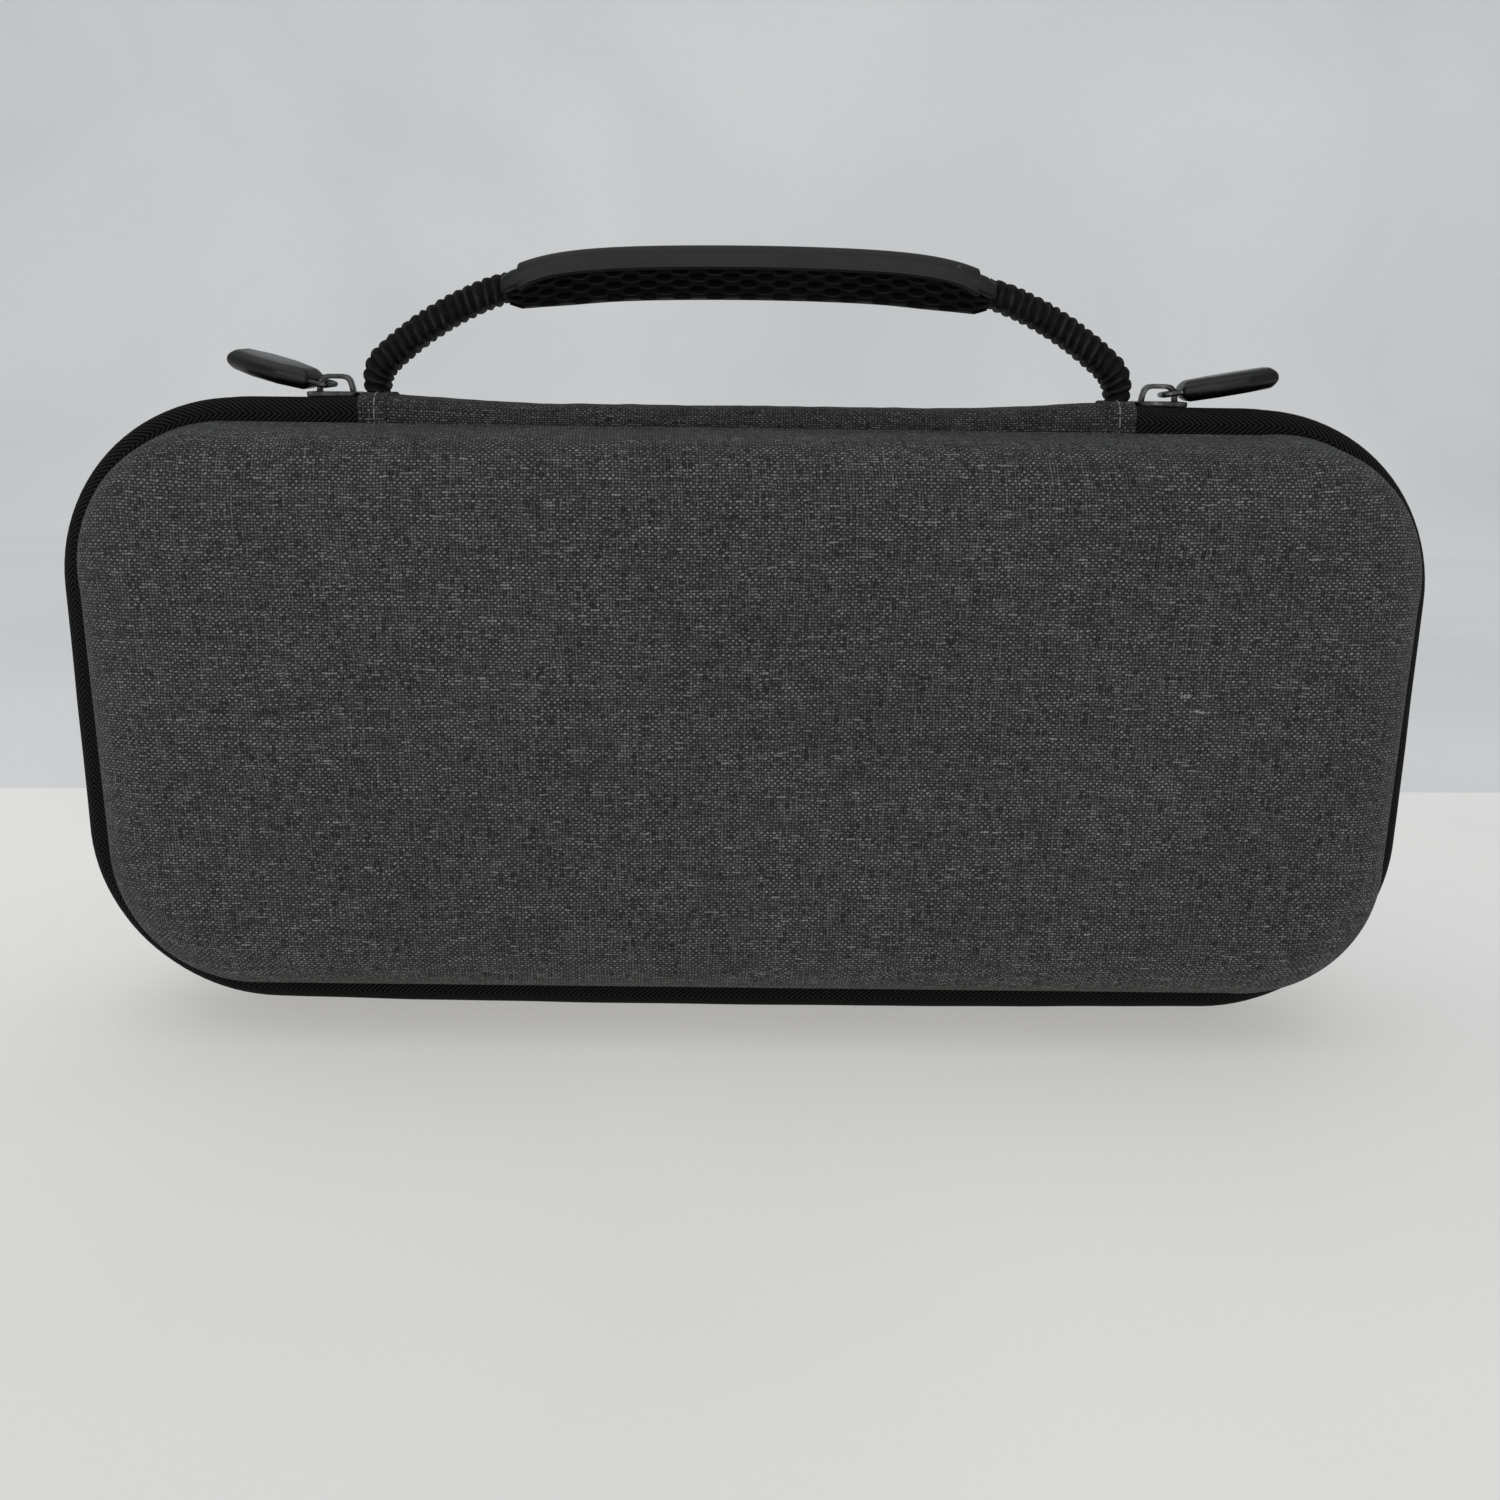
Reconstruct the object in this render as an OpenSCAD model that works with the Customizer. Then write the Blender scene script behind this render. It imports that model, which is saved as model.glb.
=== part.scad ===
// Clamshell carry case for tabletop miniatures: two moulded shells joined by a
// cloth spine, closed by a two-way zip, with a strap handle on the spine.
// It stands on its zip band with the handle up: X is its width, the lid faces -Y.

/* [Shells] */
// Width of each shell at its rim
rim_w = 342; // [320:1:380]
// Height of each shell at its rim
rim_h = 151; // [130:1:180]
// Corner radius of the rim
rim_r = 41.5; // [36:0.5:46]
// Depth of each shell, from its rim to its outer face
shell_d = 26; // [23:1:38]
// Thickness of the moulded shell
shell_t = 4; // [3:0.5:5]
// Slope of the side walls, in degrees
wall_draft = 20; // [8:1:22]
// Rounding between the side walls and the outer face
edge_r = 18; // [13:1:20]
// Thickness of the cloth lining
lining_t = 0.8; // [0.5:0.1:1.2]
// Thickness of the binding over the inner seam
binding_t = 1.6; // [1:0.1:2]
// Width of the binding over the inner seam
binding_w = 7; // [5:0.5:10]

/* [Zip band] */
// Width of the band between the two rims
band_w = 20; // [19:0.5:24]
// How far the band stands proud of the rims
band_proud = 7; // [6.5:0.5:8]
// Rounding of the band's shoulders
band_r = 4.5; // [3:0.5:5]
// Thickness of the zip tape
tape_t = 1.2; // [0.8:0.1:1.4]
// Gap between the open tapes
tape_gap = 3.8; // [3.6:0.1:4.4]
// Height of the zip coil under the tape
coil_h = 1.8; // [1.4:0.1:2]
// Width of the zip coil
coil_w = 1.8; // [1.4:0.1:2.4]

/* [Spine] */
// Thickness of the spine's cloth
spine_t = 1.4; // [1:0.1:1.8]
// Length of the stitched cuff at each end of the spine
cuff_len = 7.5; // [7:0.5:10]
// How far the cuffs stand over the spine
cuff_proud = 0.4; // [0.2:0.1:0.8]
// Play between the spine and the rims
seam_gap = 0.3; // [0.2:0.05:0.4]

/* [Zip sliders and pulls] */
// Length of a slider
slider_len = 13; // [11:0.5:14]
// Thickness of a slider's plates
plate_t = 1.3; // [1:0.1:1.5]
// Width of the slider's neck between the tapes
neck_w = 2; // [1.6:0.1:2.2]
// Running play of a slider on the tape
slide_play = 0.3; // [0.2:0.05:0.4]
// Width of the slider's bridge
bridge_w = 2.4; // [2:0.1:3]
// Height of the eye under the bridge
eye_h = 3.2; // [2.8:0.1:4]
// Diameter of the pull link's bar
bar_d = 1.3; // [1.1:0.1:1.4]
// Width of the pull link
link_w = 7.2; // [7:0.2:8]
// Length of a rubber pull tab
tab_len = 24.5; // [20:0.5:26]
// Width of a rubber pull tab
tab_w = 12.5; // [10:0.5:13]
// Thickness of a rubber pull tab
tab_t = 5.4; // [4:0.2:6]
// Tilt of the right pull tab, in degrees
right_tilt = 10; // [10:1:30]
// Tilt of the left pull tab, in degrees
left_tilt = 14; // [13:1:30]
// Turn of the left pull and its loose link away from the lid, in degrees
left_turn = 18; // [8:1:20]
// Roll of the left pull and its loose link towards the lid, in degrees
left_roll = 8; // [0:1:10]

/* [Handle] */
// Distance between the two feet of the strap
strap_span = 190; // [170:1:206]
// From the middle of each foot to the end of the spine that holds it
foot_inset = 3.5; // [3:0.25:5]
// Radius of the bend above each foot
foot_r = 9; // [8:1:20]
// Turn of the strap in that bend, in degrees
foot_turn = 48; // [40:1:55]
// Radius of the strap's long bend
arm_r = 84; // [60:1:90]
// Turn of the strap in its long bend, in degrees
arm_turn = 35; // [28:1:38]
// Width of the strap's cover across the case
cover_w = 12.5; // [11.5:0.5:14]
// Thickness of the strap's cover
cover_t = 7.4; // [7:0.2:9]
// Number of gathers in each cover
gathers = 19; // [10:1:24]
// Depth of the gathers
gather_depth = 0.7; // [0.3:0.1:0.9]
// Width of the webbing inside the strap
web_w = 8; // [6:0.5:8.5]
// Thickness of the webbing inside the strap
web_t = 2.4; // [1.6:0.2:2.6]
// Play of the webbing in its slots
web_play = 0.3; // [0.2:0.1:0.5]
// Length of the moulded grip
grip_len = 118; // [110:1:124]
// Width of the grip
grip_w = 20; // [17:1:24]
// Bow of the grip's top, as a radius
bow_r = 440; // [350:10:800]
// Rubber over the webbing at the middle of the grip
grip_cover = 3; // [2:0.2:4]
// Thickness of the grip's smooth cap
cap_t = 5; // [4.2:0.2:6]
// Depth of the grip's honeycomb belly
belly_t = 8; // [6:0.2:9]
// Ledge of the cap over the belly
cap_ledge = 1.2; // [0.6:0.2:2]
// Spacing of the honeycomb's cells
hex_pitch = 4.85; // [4.4:0.05:5.5]
// Wall between neighbouring cells
hex_wall = 1.1; // [0.8:0.1:1.6]
// Depth of the cells
hex_depth = 1.6; // [1:0.1:2]

/* [Foam insert] */
// Pockets along the case
pocket_cols = 7; // [5:1:9]
// Pockets up the case
pocket_rows = 2; // [1:1:3]
// Foam between neighbouring pockets
foam_wall = 6; // [4:0.5:8]
// Foam above and below the pockets
rail_t = 8; // [6:0.5:12]
// Foam beyond the last pockets
end_t = 16; // [13:1:22]
// Thickness of the foam pad under the pockets
pad_t = 6; // [4:0.5:8]
// Play between the foams of the two halves
foam_play = 0.8; // [0.6:0.1:3]

/* [Hidden] */
$fn = 48;

charcoal = [0.21, 0.21, 0.22];
black = [0.06, 0.06, 0.065];
gunmetal = [0.3, 0.3, 0.31];
foam_grey = [0.16, 0.16, 0.17];

arc_steps = 8;
half_band = band_w / 2;
face_d = half_band + shell_d;
rim_top = band_proud + rim_h;
crown = rim_top + band_proud;
mid_z = band_proud + rim_h / 2;
corner_x = rim_w / 2 - rim_r;
corner_z = rim_h / 2 - rim_r;
inner_t = shell_t + lining_t;

// Centre of the rounding between wall and face, from the corner's axis
round_d = face_d - edge_r;
round_x = rim_r - (edge_r + (round_d - half_band) * sin(wall_draft)) / cos(wall_draft);

// Band: top of its outline and the inner edge of its sewn flange
band_top = rim_r + band_proud;
flange_x = rim_r - shell_t;

// Sliders stand just off the spine's cuffs, each on a tail of zip as long as the straight
spine_len = strap_span + 2 * foot_inset;
slider_x = spine_len / 2 + 0.8 + slider_len / 2;
tail_end = corner_x - 0.3;
slider_w = band_w - 2 * band_r - 1;
neck_len = 3.6;
neck_x = slider_len / 2 - 0.8 - neck_len;
plate_z = slide_play + plate_t;
bar_z = plate_z + eye_h / 2;
tab_reach = 4.4;
arm_reach = 8;
tab_root = link_w / 2 + 0.5;

// Strap path in the XZ plane, from its foot through two bends to the grip
foot_x = strap_span / 2;
foot_z = crown + cuff_proud;
foot_rise = 3;
web_low = crown - spine_t - 1.6;
bend_c = [foot_x - foot_r, foot_z + foot_rise];
arm_c = bend_c + (foot_r - arm_r) * [cos(foot_turn), sin(foot_turn)];
arm_a = foot_turn + arm_turn;
arm_end = arm_c + arm_r * [cos(arm_a), sin(arm_a)];
web_r = arm_end[0] / cos(arm_a);
web_c = [0, arm_end[1] - web_r * sin(arm_a)];

// Grip: its top, its underside and its ends
grip_top = web_c[1] + web_r + web_t / 2 + grip_cover;
grip_low = grip_top - cap_t - belly_t;
grip_end = grip_len / 2 + 1.5;
belly_w = grip_w - 2 * cap_ledge;
belly_r = (belly_w * belly_w / 4 + belly_t * belly_t) / (2 * belly_t);
hex_cols = floor((grip_len / 2 - 9) / (hex_pitch * sqrt(3) / 2));
hex_turn = hex_pitch / belly_r * 180 / PI;

// Foam: its pockets fill the cavity's outline at the level of the pad
foam_gap = binding_t + 0.3;
foam_top = foam_play / 2;
foam_low = face_d - inner_t;
pad_d = foam_low - pad_t;
pad_sin = max(sin(wall_draft), (pad_d - round_d) / (edge_r - inner_t));
pad_x = round_x + (edge_r - inner_t) * cos(asin(pad_sin)) - foam_gap;
inner_w = 2 * (corner_x + pad_x);
inner_h = 2 * (corner_z + pad_x);
pocket_w = (inner_w - 2 * end_t - (pocket_cols - 1) * foam_wall) / pocket_cols;
pocket_h = (inner_h - 2 * rail_t - (pocket_rows - 1) * foam_wall) / pocket_rows;
pockets_x = inner_w / 2 - end_t;
pockets_z = inner_h / 2 - rail_t;

function arc(c, r, a0, a1, n = arc_steps) =
    [for (i = [0:n]) let (a = a0 + (a1 - a0) * i / n) c + r * [cos(a), sin(a)]];
function flip(pts) = [for (i = [len(pts) - 1:-1:0]) pts[i]];
function mirrored(pts) = [for (i = [len(pts) - 1:-1:0]) [pts[i][0], -pts[i][1]]];
function shifted(pts, dx) = [for (p = pts) [p[0] + dx, p[1]]];

// Section of a shell's surface, a given inset under its outside: [out, depth]
function wall(inset) =
    concat([[rim_r - inset / cos(wall_draft), half_band]],
           arc([round_x, round_d], edge_r - inset, wall_draft, 90));
function layer(from, to) =
    concat(wall(from), [[0, face_d - from], [0, face_d - to]], flip(wall(to)));
// Section of one side of the band, from its flange to its middle
function shoulder(half, top, r, inner) =
    concat([[inner, half]], arc([top - r, half - r], r, 90, 0));
function lip_outer(edge) = concat(shoulder(half_band, band_top, band_r, flange_x), [[band_top, edge]]);
function lip_inner(edge) =
    concat(shoulder(half_band - tape_t, band_top - tape_t, band_r - tape_t, flange_x),
           [[band_top - tape_t, edge]]);
function arch(half, top, r, t) =
    let (o = shoulder(half, top, r, flange_x + seam_gap),
         i = shoulder(half - t, top - t, r - t, flange_x + seam_gap))
    concat(o, mirrored(o), flip(concat(i, mirrored(i))));

// The cover's end is square to it, so it stops short by what its lower edge leans
end_lean = (cover_t / 2 - gather_depth) * cos(acos((grip_end - arm_c[0]) / arm_r)) + 0.2;
strap_a = acos((grip_end + end_lean - arm_c[0]) / arm_r);
bend_l = foot_r * foot_turn * PI / 180;
strap_l = foot_rise + bend_l + arm_r * (strap_a - foot_turn) * PI / 180;
// Point on the strap's middle line, and its direction, a way along it
function strap_turn(s) =
    s < foot_rise ? 0
    : s < foot_rise + bend_l ? (s - foot_rise) / foot_r * 180 / PI
    : foot_turn + (s - foot_rise - bend_l) / arm_r * 180 / PI;
function strap_at(s) =
    let (a = strap_turn(s))
    s < foot_rise ? [foot_x, foot_z + s]
    : s < foot_rise + bend_l ? bend_c + foot_r * [cos(a), sin(a)]
    : arm_c + arm_r * [cos(a), sin(a)];
function strap_ring(s, half_t, half_w) =
    let (p = strap_at(s), a = strap_turn(s))
    [for (k = [0:7])
        let (u = half_t * cos(22.5 + 45 * k), v = half_w * sin(22.5 + 45 * k))
        [p[0] + u * cos(a), v, p[1] + u * sin(a)]];

// Stations of the webbing along one bend, and its section at a station
function stations(c, r, a0, a1, n) =
    [for (i = [0:n]) let (a = a0 + (a1 - a0) * (i + 0.02) / (n + 0.04)) [c + r * [cos(a), sin(a)], a]];
function web_ring(p, a, u, v) =
    [for (q = [[-u, -v], [u, -v], [u, v], [-u, v]]) [p[0] + q[0] * cos(a), q[1], p[1] + q[0] * sin(a)]];

// Placing: an outline drawn in XY with its depth along Z faces the front or the back
module front() translate([0, 0, mid_z]) rotate([90, 0, 0]) children();
module back() mirror([0, 1, 0]) front() children();
module side(quarter, reach, from, to)
    rotate(90 * quarter) translate([from, reach, 0]) rotate([90, 0, 90])
        linear_extrude(to - from) children();
module corners()
    for (i = [0:3])
        translate([(i == 0 || i == 3 ? 1 : -1) * corner_x, (i < 2 ? 1 : -1) * corner_z, 0])
            rotate(90 * i) rotate_extrude(angle = 90) children();
module lower_sides() {
    side(1, corner_x, -corner_z, corner_z) children();
    side(2, corner_z, -corner_x, corner_x) children();
    side(3, corner_x, -corner_z, corner_z) children();
}
module full_frame() {
    corners() children();
    lower_sides() children();
    side(0, corner_z, -corner_x, corner_x) children();
}
module zip_frame() {
    corners() children();
    lower_sides() children();
}
module middle(from, to)
    translate([-corner_x, -corner_z, from]) cube([2 * corner_x, 2 * corner_z, to - from]);
module box(x, y, z) translate([x[0], y[0], z[0]]) cube([x[1] - x[0], y[1] - y[0], z[1] - z[0]]);

// Shell, lining and binding of one half
module shell_half() {
    full_frame() polygon(layer(0, shell_t));
    middle(face_d - shell_t, face_d);
}
module lining_half() {
    full_frame() polygon(layer(shell_t, inner_t));
    middle(face_d - inner_t, face_d - shell_t);
}
module binding_half() {
    x0 = rim_r - inner_t / cos(wall_draft);
    x1 = x0 - binding_w * tan(wall_draft);
    full_frame() polygon([
        [flange_x, half_band - tape_t], [flange_x, half_band], [x0, half_band],
        [x1, half_band + binding_w], [x1 - binding_t, half_band + binding_w],
        [x0 - binding_t, half_band], [x0 - binding_t, half_band - tape_t]]);
}

// Open zip of one half: the tape and the coil sewn under its edge
module tape_half()
    zip_frame() polygon(concat(lip_outer(tape_gap / 2), flip(lip_inner(tape_gap / 2))));
module coil_half() {
    z1 = band_top - tape_t;
    y0 = tape_gap / 2 - 0.6;
    zip_frame() polygon([
        [z1, y0 + 0.6], [z1, y0 + coil_w], [z1 - coil_h + 0.5, y0 + coil_w],
        [z1 - coil_h, y0 + coil_w - 0.5], [z1 - coil_h, y0 + 0.5],
        [z1 - coil_h + 0.5, y0], [z1 - 0.5, y0]]);
}

// Foam of one half: blocks cut to the cavity, each a plain convex piece
module cavity() {
    w = shifted(wall(inner_t), -foam_gap);
    full_frame() polygon(concat([[0, foam_top], [w[0][0], foam_top]], w, [[0, foam_low]]));
    middle(foam_top, foam_low);
}
module foam_pad()
    intersection() {
        cavity();
        box([-rim_w, rim_w], [-rim_h, rim_h], [pad_d, face_d]);
    }
module foam_ends()
    for (s = [0, 1])
        mirror([s, 0, 0]) intersection() {
            cavity();
            box([pockets_x, rim_w], [-rim_h, rim_h], [0, pad_d]);
        }
module foam_rails() {
    for (s = [0, 1])
        mirror([0, s, 0]) intersection() {
            cavity();
            box([-pockets_x, pockets_x], [pockets_z, rim_h], [0, pad_d]);
        }
    for (i = [1:1:pocket_rows - 1])
        translate([0, -pockets_z + i * pocket_h + (i - 1) * foam_wall, 0])
            box([-pockets_x, pockets_x], [0, foam_wall], [foam_top, pad_d]);
}
module foam_dividers()
    for (c = [1:1:pocket_cols - 1], r = [0:1:pocket_rows - 1])
        translate([-pockets_x + c * pocket_w + (c - 1) * foam_wall,
                   -pockets_z + r * (pocket_h + foam_wall), 0])
            box([0, foam_wall], [0, pocket_h], [foam_top, pad_d]);

// Spine: cloth strip, stitched cuffs with a slot for the webbing, closed ends of the zip
module web_slot(s)
    translate([s * foot_x, 0, crown])
        cube([web_t + 2 * web_play, web_w + 2 * web_play, 12], center = true);
module spine_strip()
    front() side(0, corner_z, -spine_len / 2 + cuff_len, spine_len / 2 - cuff_len)
        polygon(arch(half_band - seam_gap, band_top, band_r, spine_t));
module spine_cuff(s)
    difference() {
        front() side(0, corner_z, s * spine_len / 2 - (s > 0 ? cuff_len : 0),
                     s * spine_len / 2 + (s > 0 ? 0 : cuff_len))
            polygon(arch(half_band - seam_gap, band_top + cuff_proud, band_r, spine_t + cuff_proud));
        web_slot(s);
    }
module zip_tail()
    difference() {
        front() side(0, corner_z, spine_len / 2, tail_end)
            polygon(arch(half_band - seam_gap, band_top, band_r, tape_t));
        box([slider_x + neck_x - 0.5, tail_end + 1], [-tape_gap / 2, tape_gap / 2], [crown - 5, crown + 5]);
    }
module anchor(s)
    difference() {
        translate([s * (spine_len / 2 - cuff_len / 2), 0, crown - spine_t - 0.8])
            cube([cuff_len, slider_w, 1.6], center = true);
        web_slot(s);
    }

// Handle: webbing, gathered covers and the moulded grip
module webbing(t, w) {
    half = concat([[[foot_x, web_low], 0]], stations(bend_c, foot_r, 0, foot_turn, 6),
                  stations(arm_c, arm_r, foot_turn, arm_a, 8));
    mid = stations(web_c, web_r, arm_a, 180 - arm_a, 8);
    way = concat(half, mid, [for (i = [len(half) - 1:-1:0])
        [[-half[i][0][0], half[i][0][1]], 180 - half[i][1]]]);
    n = len(way) - 1;
    pts = [for (q = way) each web_ring(q[0], q[1], t / 2, w / 2)];
    skin = [for (i = [0:n - 1], k = [0:3]) let (j = (k + 1) % 4)
        each [[4 * i + k, 4 * i + 4 + j, 4 * i + j], [4 * i + k, 4 * i + 4 + k, 4 * i + 4 + j]]];
    polyhedron(pts, concat(skin, [[0, 1, 2, 3], [4 * n + 3, 4 * n + 2, 4 * n + 1, 4 * n]]));
}
module strap_cover() {
    n = 2 * gathers;
    out = [for (i = [0:n]) let (d = gather_depth * (i % 2 == 0 ? 1 : 0))
        strap_ring(strap_l * i / n, cover_t / 2 - d, cover_w / 2 - d)];
    bore = [for (i = [0:n]) strap_ring(strap_l * i / n, web_t / 2 + 1.3, web_w / 2 + 1.2)];
    pts = [for (ring = concat(out, bore)) for (p = ring) p];
    b = 8 * (n + 1);
    skin = [for (i = [0:n - 1], k = [0:7]) let (j = (k + 1) % 8)
        each [[8 * i + k, 8 * i + 8 + j, 8 * i + j], [8 * i + k, 8 * i + 8 + k, 8 * i + 8 + j]]];
    hole = [for (f = skin) [f[0] + b, f[2] + b, f[1] + b]];
    ends = [for (k = [0:7]) let (j = (k + 1) % 8, e = 8 * n)
        each [[k, j, j + b], [k, j + b, k + b],
              [e + j, e + k, e + k + b], [e + j, e + k + b, e + j + b]]];
    polyhedron(pts, concat(skin, hole, ends));
}
module grip_cap() {
    a = asin((grip_len / 2 - 1) / bow_r);
    half = arc([bow_r - 2.4, grip_w / 2 - 2.4], 2.4, 90, 0, 4);
    translate([0, 0, grip_top - bow_r]) rotate([90, 0, 0]) rotate(90 - a)
        rotate_extrude(angle = 2 * a, $fn = 720)
            polygon(concat([[bow_r - cap_t, grip_w / 2]], half, mirrored(half), [[bow_r - cap_t, -grip_w / 2]]));
}
module grip_belly()
    difference() {
        intersection() {
            translate([-grip_len / 2 + 7, 0, grip_low + belly_r]) rotate([0, 90, 0])
                cylinder(r = belly_r, h = grip_len - 14);
            box([-grip_len, grip_len], [-grip_w, grip_w], [grip_low - 1, grip_top - cap_t + 0.5]);
        }
        for (c = [-hex_cols:hex_cols]) {
            odd = abs(c) % 2;
            for (k = [-2 + odd:2])
                translate([c * hex_pitch * sqrt(3) / 2, 0, grip_low + belly_r])
                    rotate([(k - odd / 2) * hex_turn, 0, 0])
                        translate([0, 0, -belly_r - 1])
                            cylinder(r = (hex_pitch - hex_wall) / sqrt(3), h = hex_depth + 1, $fn = 6);
        }
    }
module grip_ferrule()
    translate([0, grip_w / 2 - 1, 0]) rotate([90, 0, 0]) linear_extrude(grip_w - 2)
        polygon([[grip_len / 2 - 8.5, grip_low + 0.2], [grip_len / 2 - 2, grip_low + 0.2],
                 [grip_end, grip_low + 0.8], [grip_end, grip_top - 5.6],
                 [grip_len / 2 - 2, grip_top - 3.6], [grip_len / 2 - 8.5, grip_top - 3.6]]);
module grip()
    difference() {
        union() {
            grip_cap();
            grip_belly();
            grip_ferrule();
            mirror([1, 0, 0]) grip_ferrule();
        }
        webbing(web_t + 2 * web_play, web_w + 2 * web_play);
    }

// Zip slider and its pull, both drawn for the right side
module slider() {
    outline = [[-slider_len / 2, -slider_w / 2 + 1.6], [-slider_len / 2 + 3, -slider_w / 2],
               [slider_len / 2, -slider_w / 2], [slider_len / 2, slider_w / 2],
               [-slider_len / 2 + 3, slider_w / 2], [-slider_len / 2, slider_w / 2 - 1.6]];
    low = tape_t + coil_h + slide_play;
    translate([slider_x, 0, crown]) {
        translate([0, 0, slide_play]) linear_extrude(plate_t) polygon(outline);
        translate([0, 0, -low - plate_t]) linear_extrude(plate_t) polygon(outline);
        box([neck_x, neck_x + neck_len], [-neck_w / 2, neck_w / 2], [-low - 0.5, slide_play + 0.5]);
        translate([0, bridge_w / 2, plate_z]) rotate([90, 0, 0]) linear_extrude(bridge_w)
            polygon([[-5, -0.4], [-3.8, eye_h + 1.2], [3.8, eye_h + 1.2], [5, -0.4], [3.7, -0.4],
                     [2.7, eye_h], [-2.7, eye_h], [-3.7, -0.4]]);
    }
}
module link_arms()
    for (s = [-1, 1])
        translate([0, s * (link_w / 2 - 0.6) - 0.6, -bar_d / 2]) cube([arm_reach, 1.2, bar_d]);
module pull_link() {
    rotate([90, 0, 0]) cylinder(d = bar_d, h = link_w, center = true);
    link_arms();
}
module tab_outline(inset)
    polygon([[inset, -tab_root + inset], [8, -tab_w / 2 + inset], [tab_len - 8, -tab_w / 2 + inset],
             [tab_len - inset, -4.2 + inset], [tab_len - inset, 4.2 - inset],
             [tab_len - 8, tab_w / 2 - inset], [8, tab_w / 2 - inset], [inset, tab_root - inset]]);
module pull_tab()
    difference() {
        translate([tab_reach, 0, 0]) hull() {
            linear_extrude(tab_t - 3.2, center = true) tab_outline(0);
            linear_extrude(tab_t, center = true) tab_outline(1.5);
        }
        link_arms();
    }
module on_right() translate([slider_x + 1, 0, crown + bar_z]) rotate([0, -right_tilt, 0]) children();
module on_left()
    mirror([1, 0, 0]) translate([slider_x + 1.6, 0, crown + bar_z]) rotate([0, -left_tilt, 0])
        rotate([left_roll, 0, left_turn]) children();

color(charcoal) back() shell_half();  // back_shell
color(black) back() lining_half();  // back_lining
color(black) back() binding_half();  // back_binding
color(black) back() tape_half();  // back_zip_tape
color(black) back() coil_half();  // back_zip_coil
color(foam_grey) back() foam_pad();  // back_foam_pad
color(foam_grey) back() foam_ends();  // back_foam_ends
color(foam_grey) back() foam_rails();  // back_foam_rails
color(foam_grey) back() foam_dividers();  // back_foam_dividers
color(charcoal) front() shell_half();  // front_shell
color(black) front() lining_half();  // front_lining
color(black) front() binding_half();  // front_binding
color(black) front() tape_half();  // front_zip_tape
color(black) front() coil_half();  // front_zip_coil
color(foam_grey) front() foam_pad();  // front_foam_pad
color(foam_grey) front() foam_ends();  // front_foam_ends
color(foam_grey) front() foam_rails();  // front_foam_rails
color(foam_grey) front() foam_dividers();  // front_foam_dividers
color(charcoal) spine_strip();
color(charcoal) spine_cuff(-1);  // spine_cuff_left
color(charcoal) spine_cuff(1);  // spine_cuff_right
color(black) mirror([1, 0, 0]) zip_tail();  // zip_tail_left
color(black) zip_tail();  // zip_tail_right
color(black) anchor(-1);  // anchor_left
color(black) anchor(1);  // anchor_right
color(black) webbing(web_t, web_w);  // handle_webbing
color(black) mirror([1, 0, 0]) strap_cover();  // strap_cover_left
color(black) strap_cover();  // strap_cover_right
color(black) grip();  // handle_grip
color(gunmetal) mirror([1, 0, 0]) slider();  // slider_left
color(gunmetal) slider();  // slider_right
color(gunmetal) on_left() pull_link();  // pull_link_left
color(gunmetal) on_right() pull_link();  // pull_link_right
color(black) on_left() pull_tab();  // pull_tab_left
color(black) on_right() pull_tab();  // pull_tab_right
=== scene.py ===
"""Looks of the miniature carry case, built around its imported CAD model. Sizes are in mm until a mesh is made."""
import math
from math import cos, pi, radians, sin, sqrt, tan

import bmesh
import bpy
import numpy as np
from mathutils import Matrix, Vector, noise


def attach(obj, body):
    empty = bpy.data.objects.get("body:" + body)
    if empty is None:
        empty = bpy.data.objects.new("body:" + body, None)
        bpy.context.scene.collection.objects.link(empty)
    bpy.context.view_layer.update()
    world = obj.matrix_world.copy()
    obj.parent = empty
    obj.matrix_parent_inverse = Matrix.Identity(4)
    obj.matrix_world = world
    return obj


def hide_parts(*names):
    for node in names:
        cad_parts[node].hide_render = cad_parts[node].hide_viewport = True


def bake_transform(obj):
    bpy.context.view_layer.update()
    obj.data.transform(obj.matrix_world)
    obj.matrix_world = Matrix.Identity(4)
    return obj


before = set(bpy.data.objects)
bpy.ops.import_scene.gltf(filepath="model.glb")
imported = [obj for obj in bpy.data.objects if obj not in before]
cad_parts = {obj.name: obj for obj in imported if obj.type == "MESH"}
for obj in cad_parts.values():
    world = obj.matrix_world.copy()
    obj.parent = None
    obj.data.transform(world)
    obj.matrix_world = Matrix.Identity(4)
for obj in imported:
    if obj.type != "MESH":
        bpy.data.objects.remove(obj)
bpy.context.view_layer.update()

MM = 0.001
UV_UNIT = 100.0  # one UV unit is 100 mm of cloth
scene = bpy.context.scene

# Sizes of the part, as in its source
RIM_W, RIM_H, RIM_R = 342.0, 151.0, 41.5
SHELL_D, SHELL_T, LINING_T = 26.0, 4.0, 0.8
DRAFT, EDGE_R = radians(20), 18.0
BINDING_T, BINDING_W = 1.6, 7.0
HALF_BAND, BAND_PROUD, BAND_R = 10.0, 7.0, 4.5
TAPE_T, TAPE_GAP, COIL_H, COIL_W = 1.2, 3.8, 1.8, 1.8
SPINE_T, CUFF_LEN, CUFF_PROUD, SEAM_GAP = 1.4, 7.5, 0.4, 0.3
STRAP_SPAN, FOOT_INSET, FOOT_R, ARM_R = 190.0, 3.5, 9.0, 84.0
FOOT_TURN, ARM_TURN = radians(48), radians(35)
COVER_W, COVER_T, GATHERS, GATHER_D, WEB_T = 12.5, 7.4, 19, 0.7, 2.4
GRIP_LEN, GRIP_W, GRIP_COVER, CAP_T, BELLY_T, HEX_PITCH = 118.0, 20.0, 3.0, 5.0, 8.0, 4.85
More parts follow.
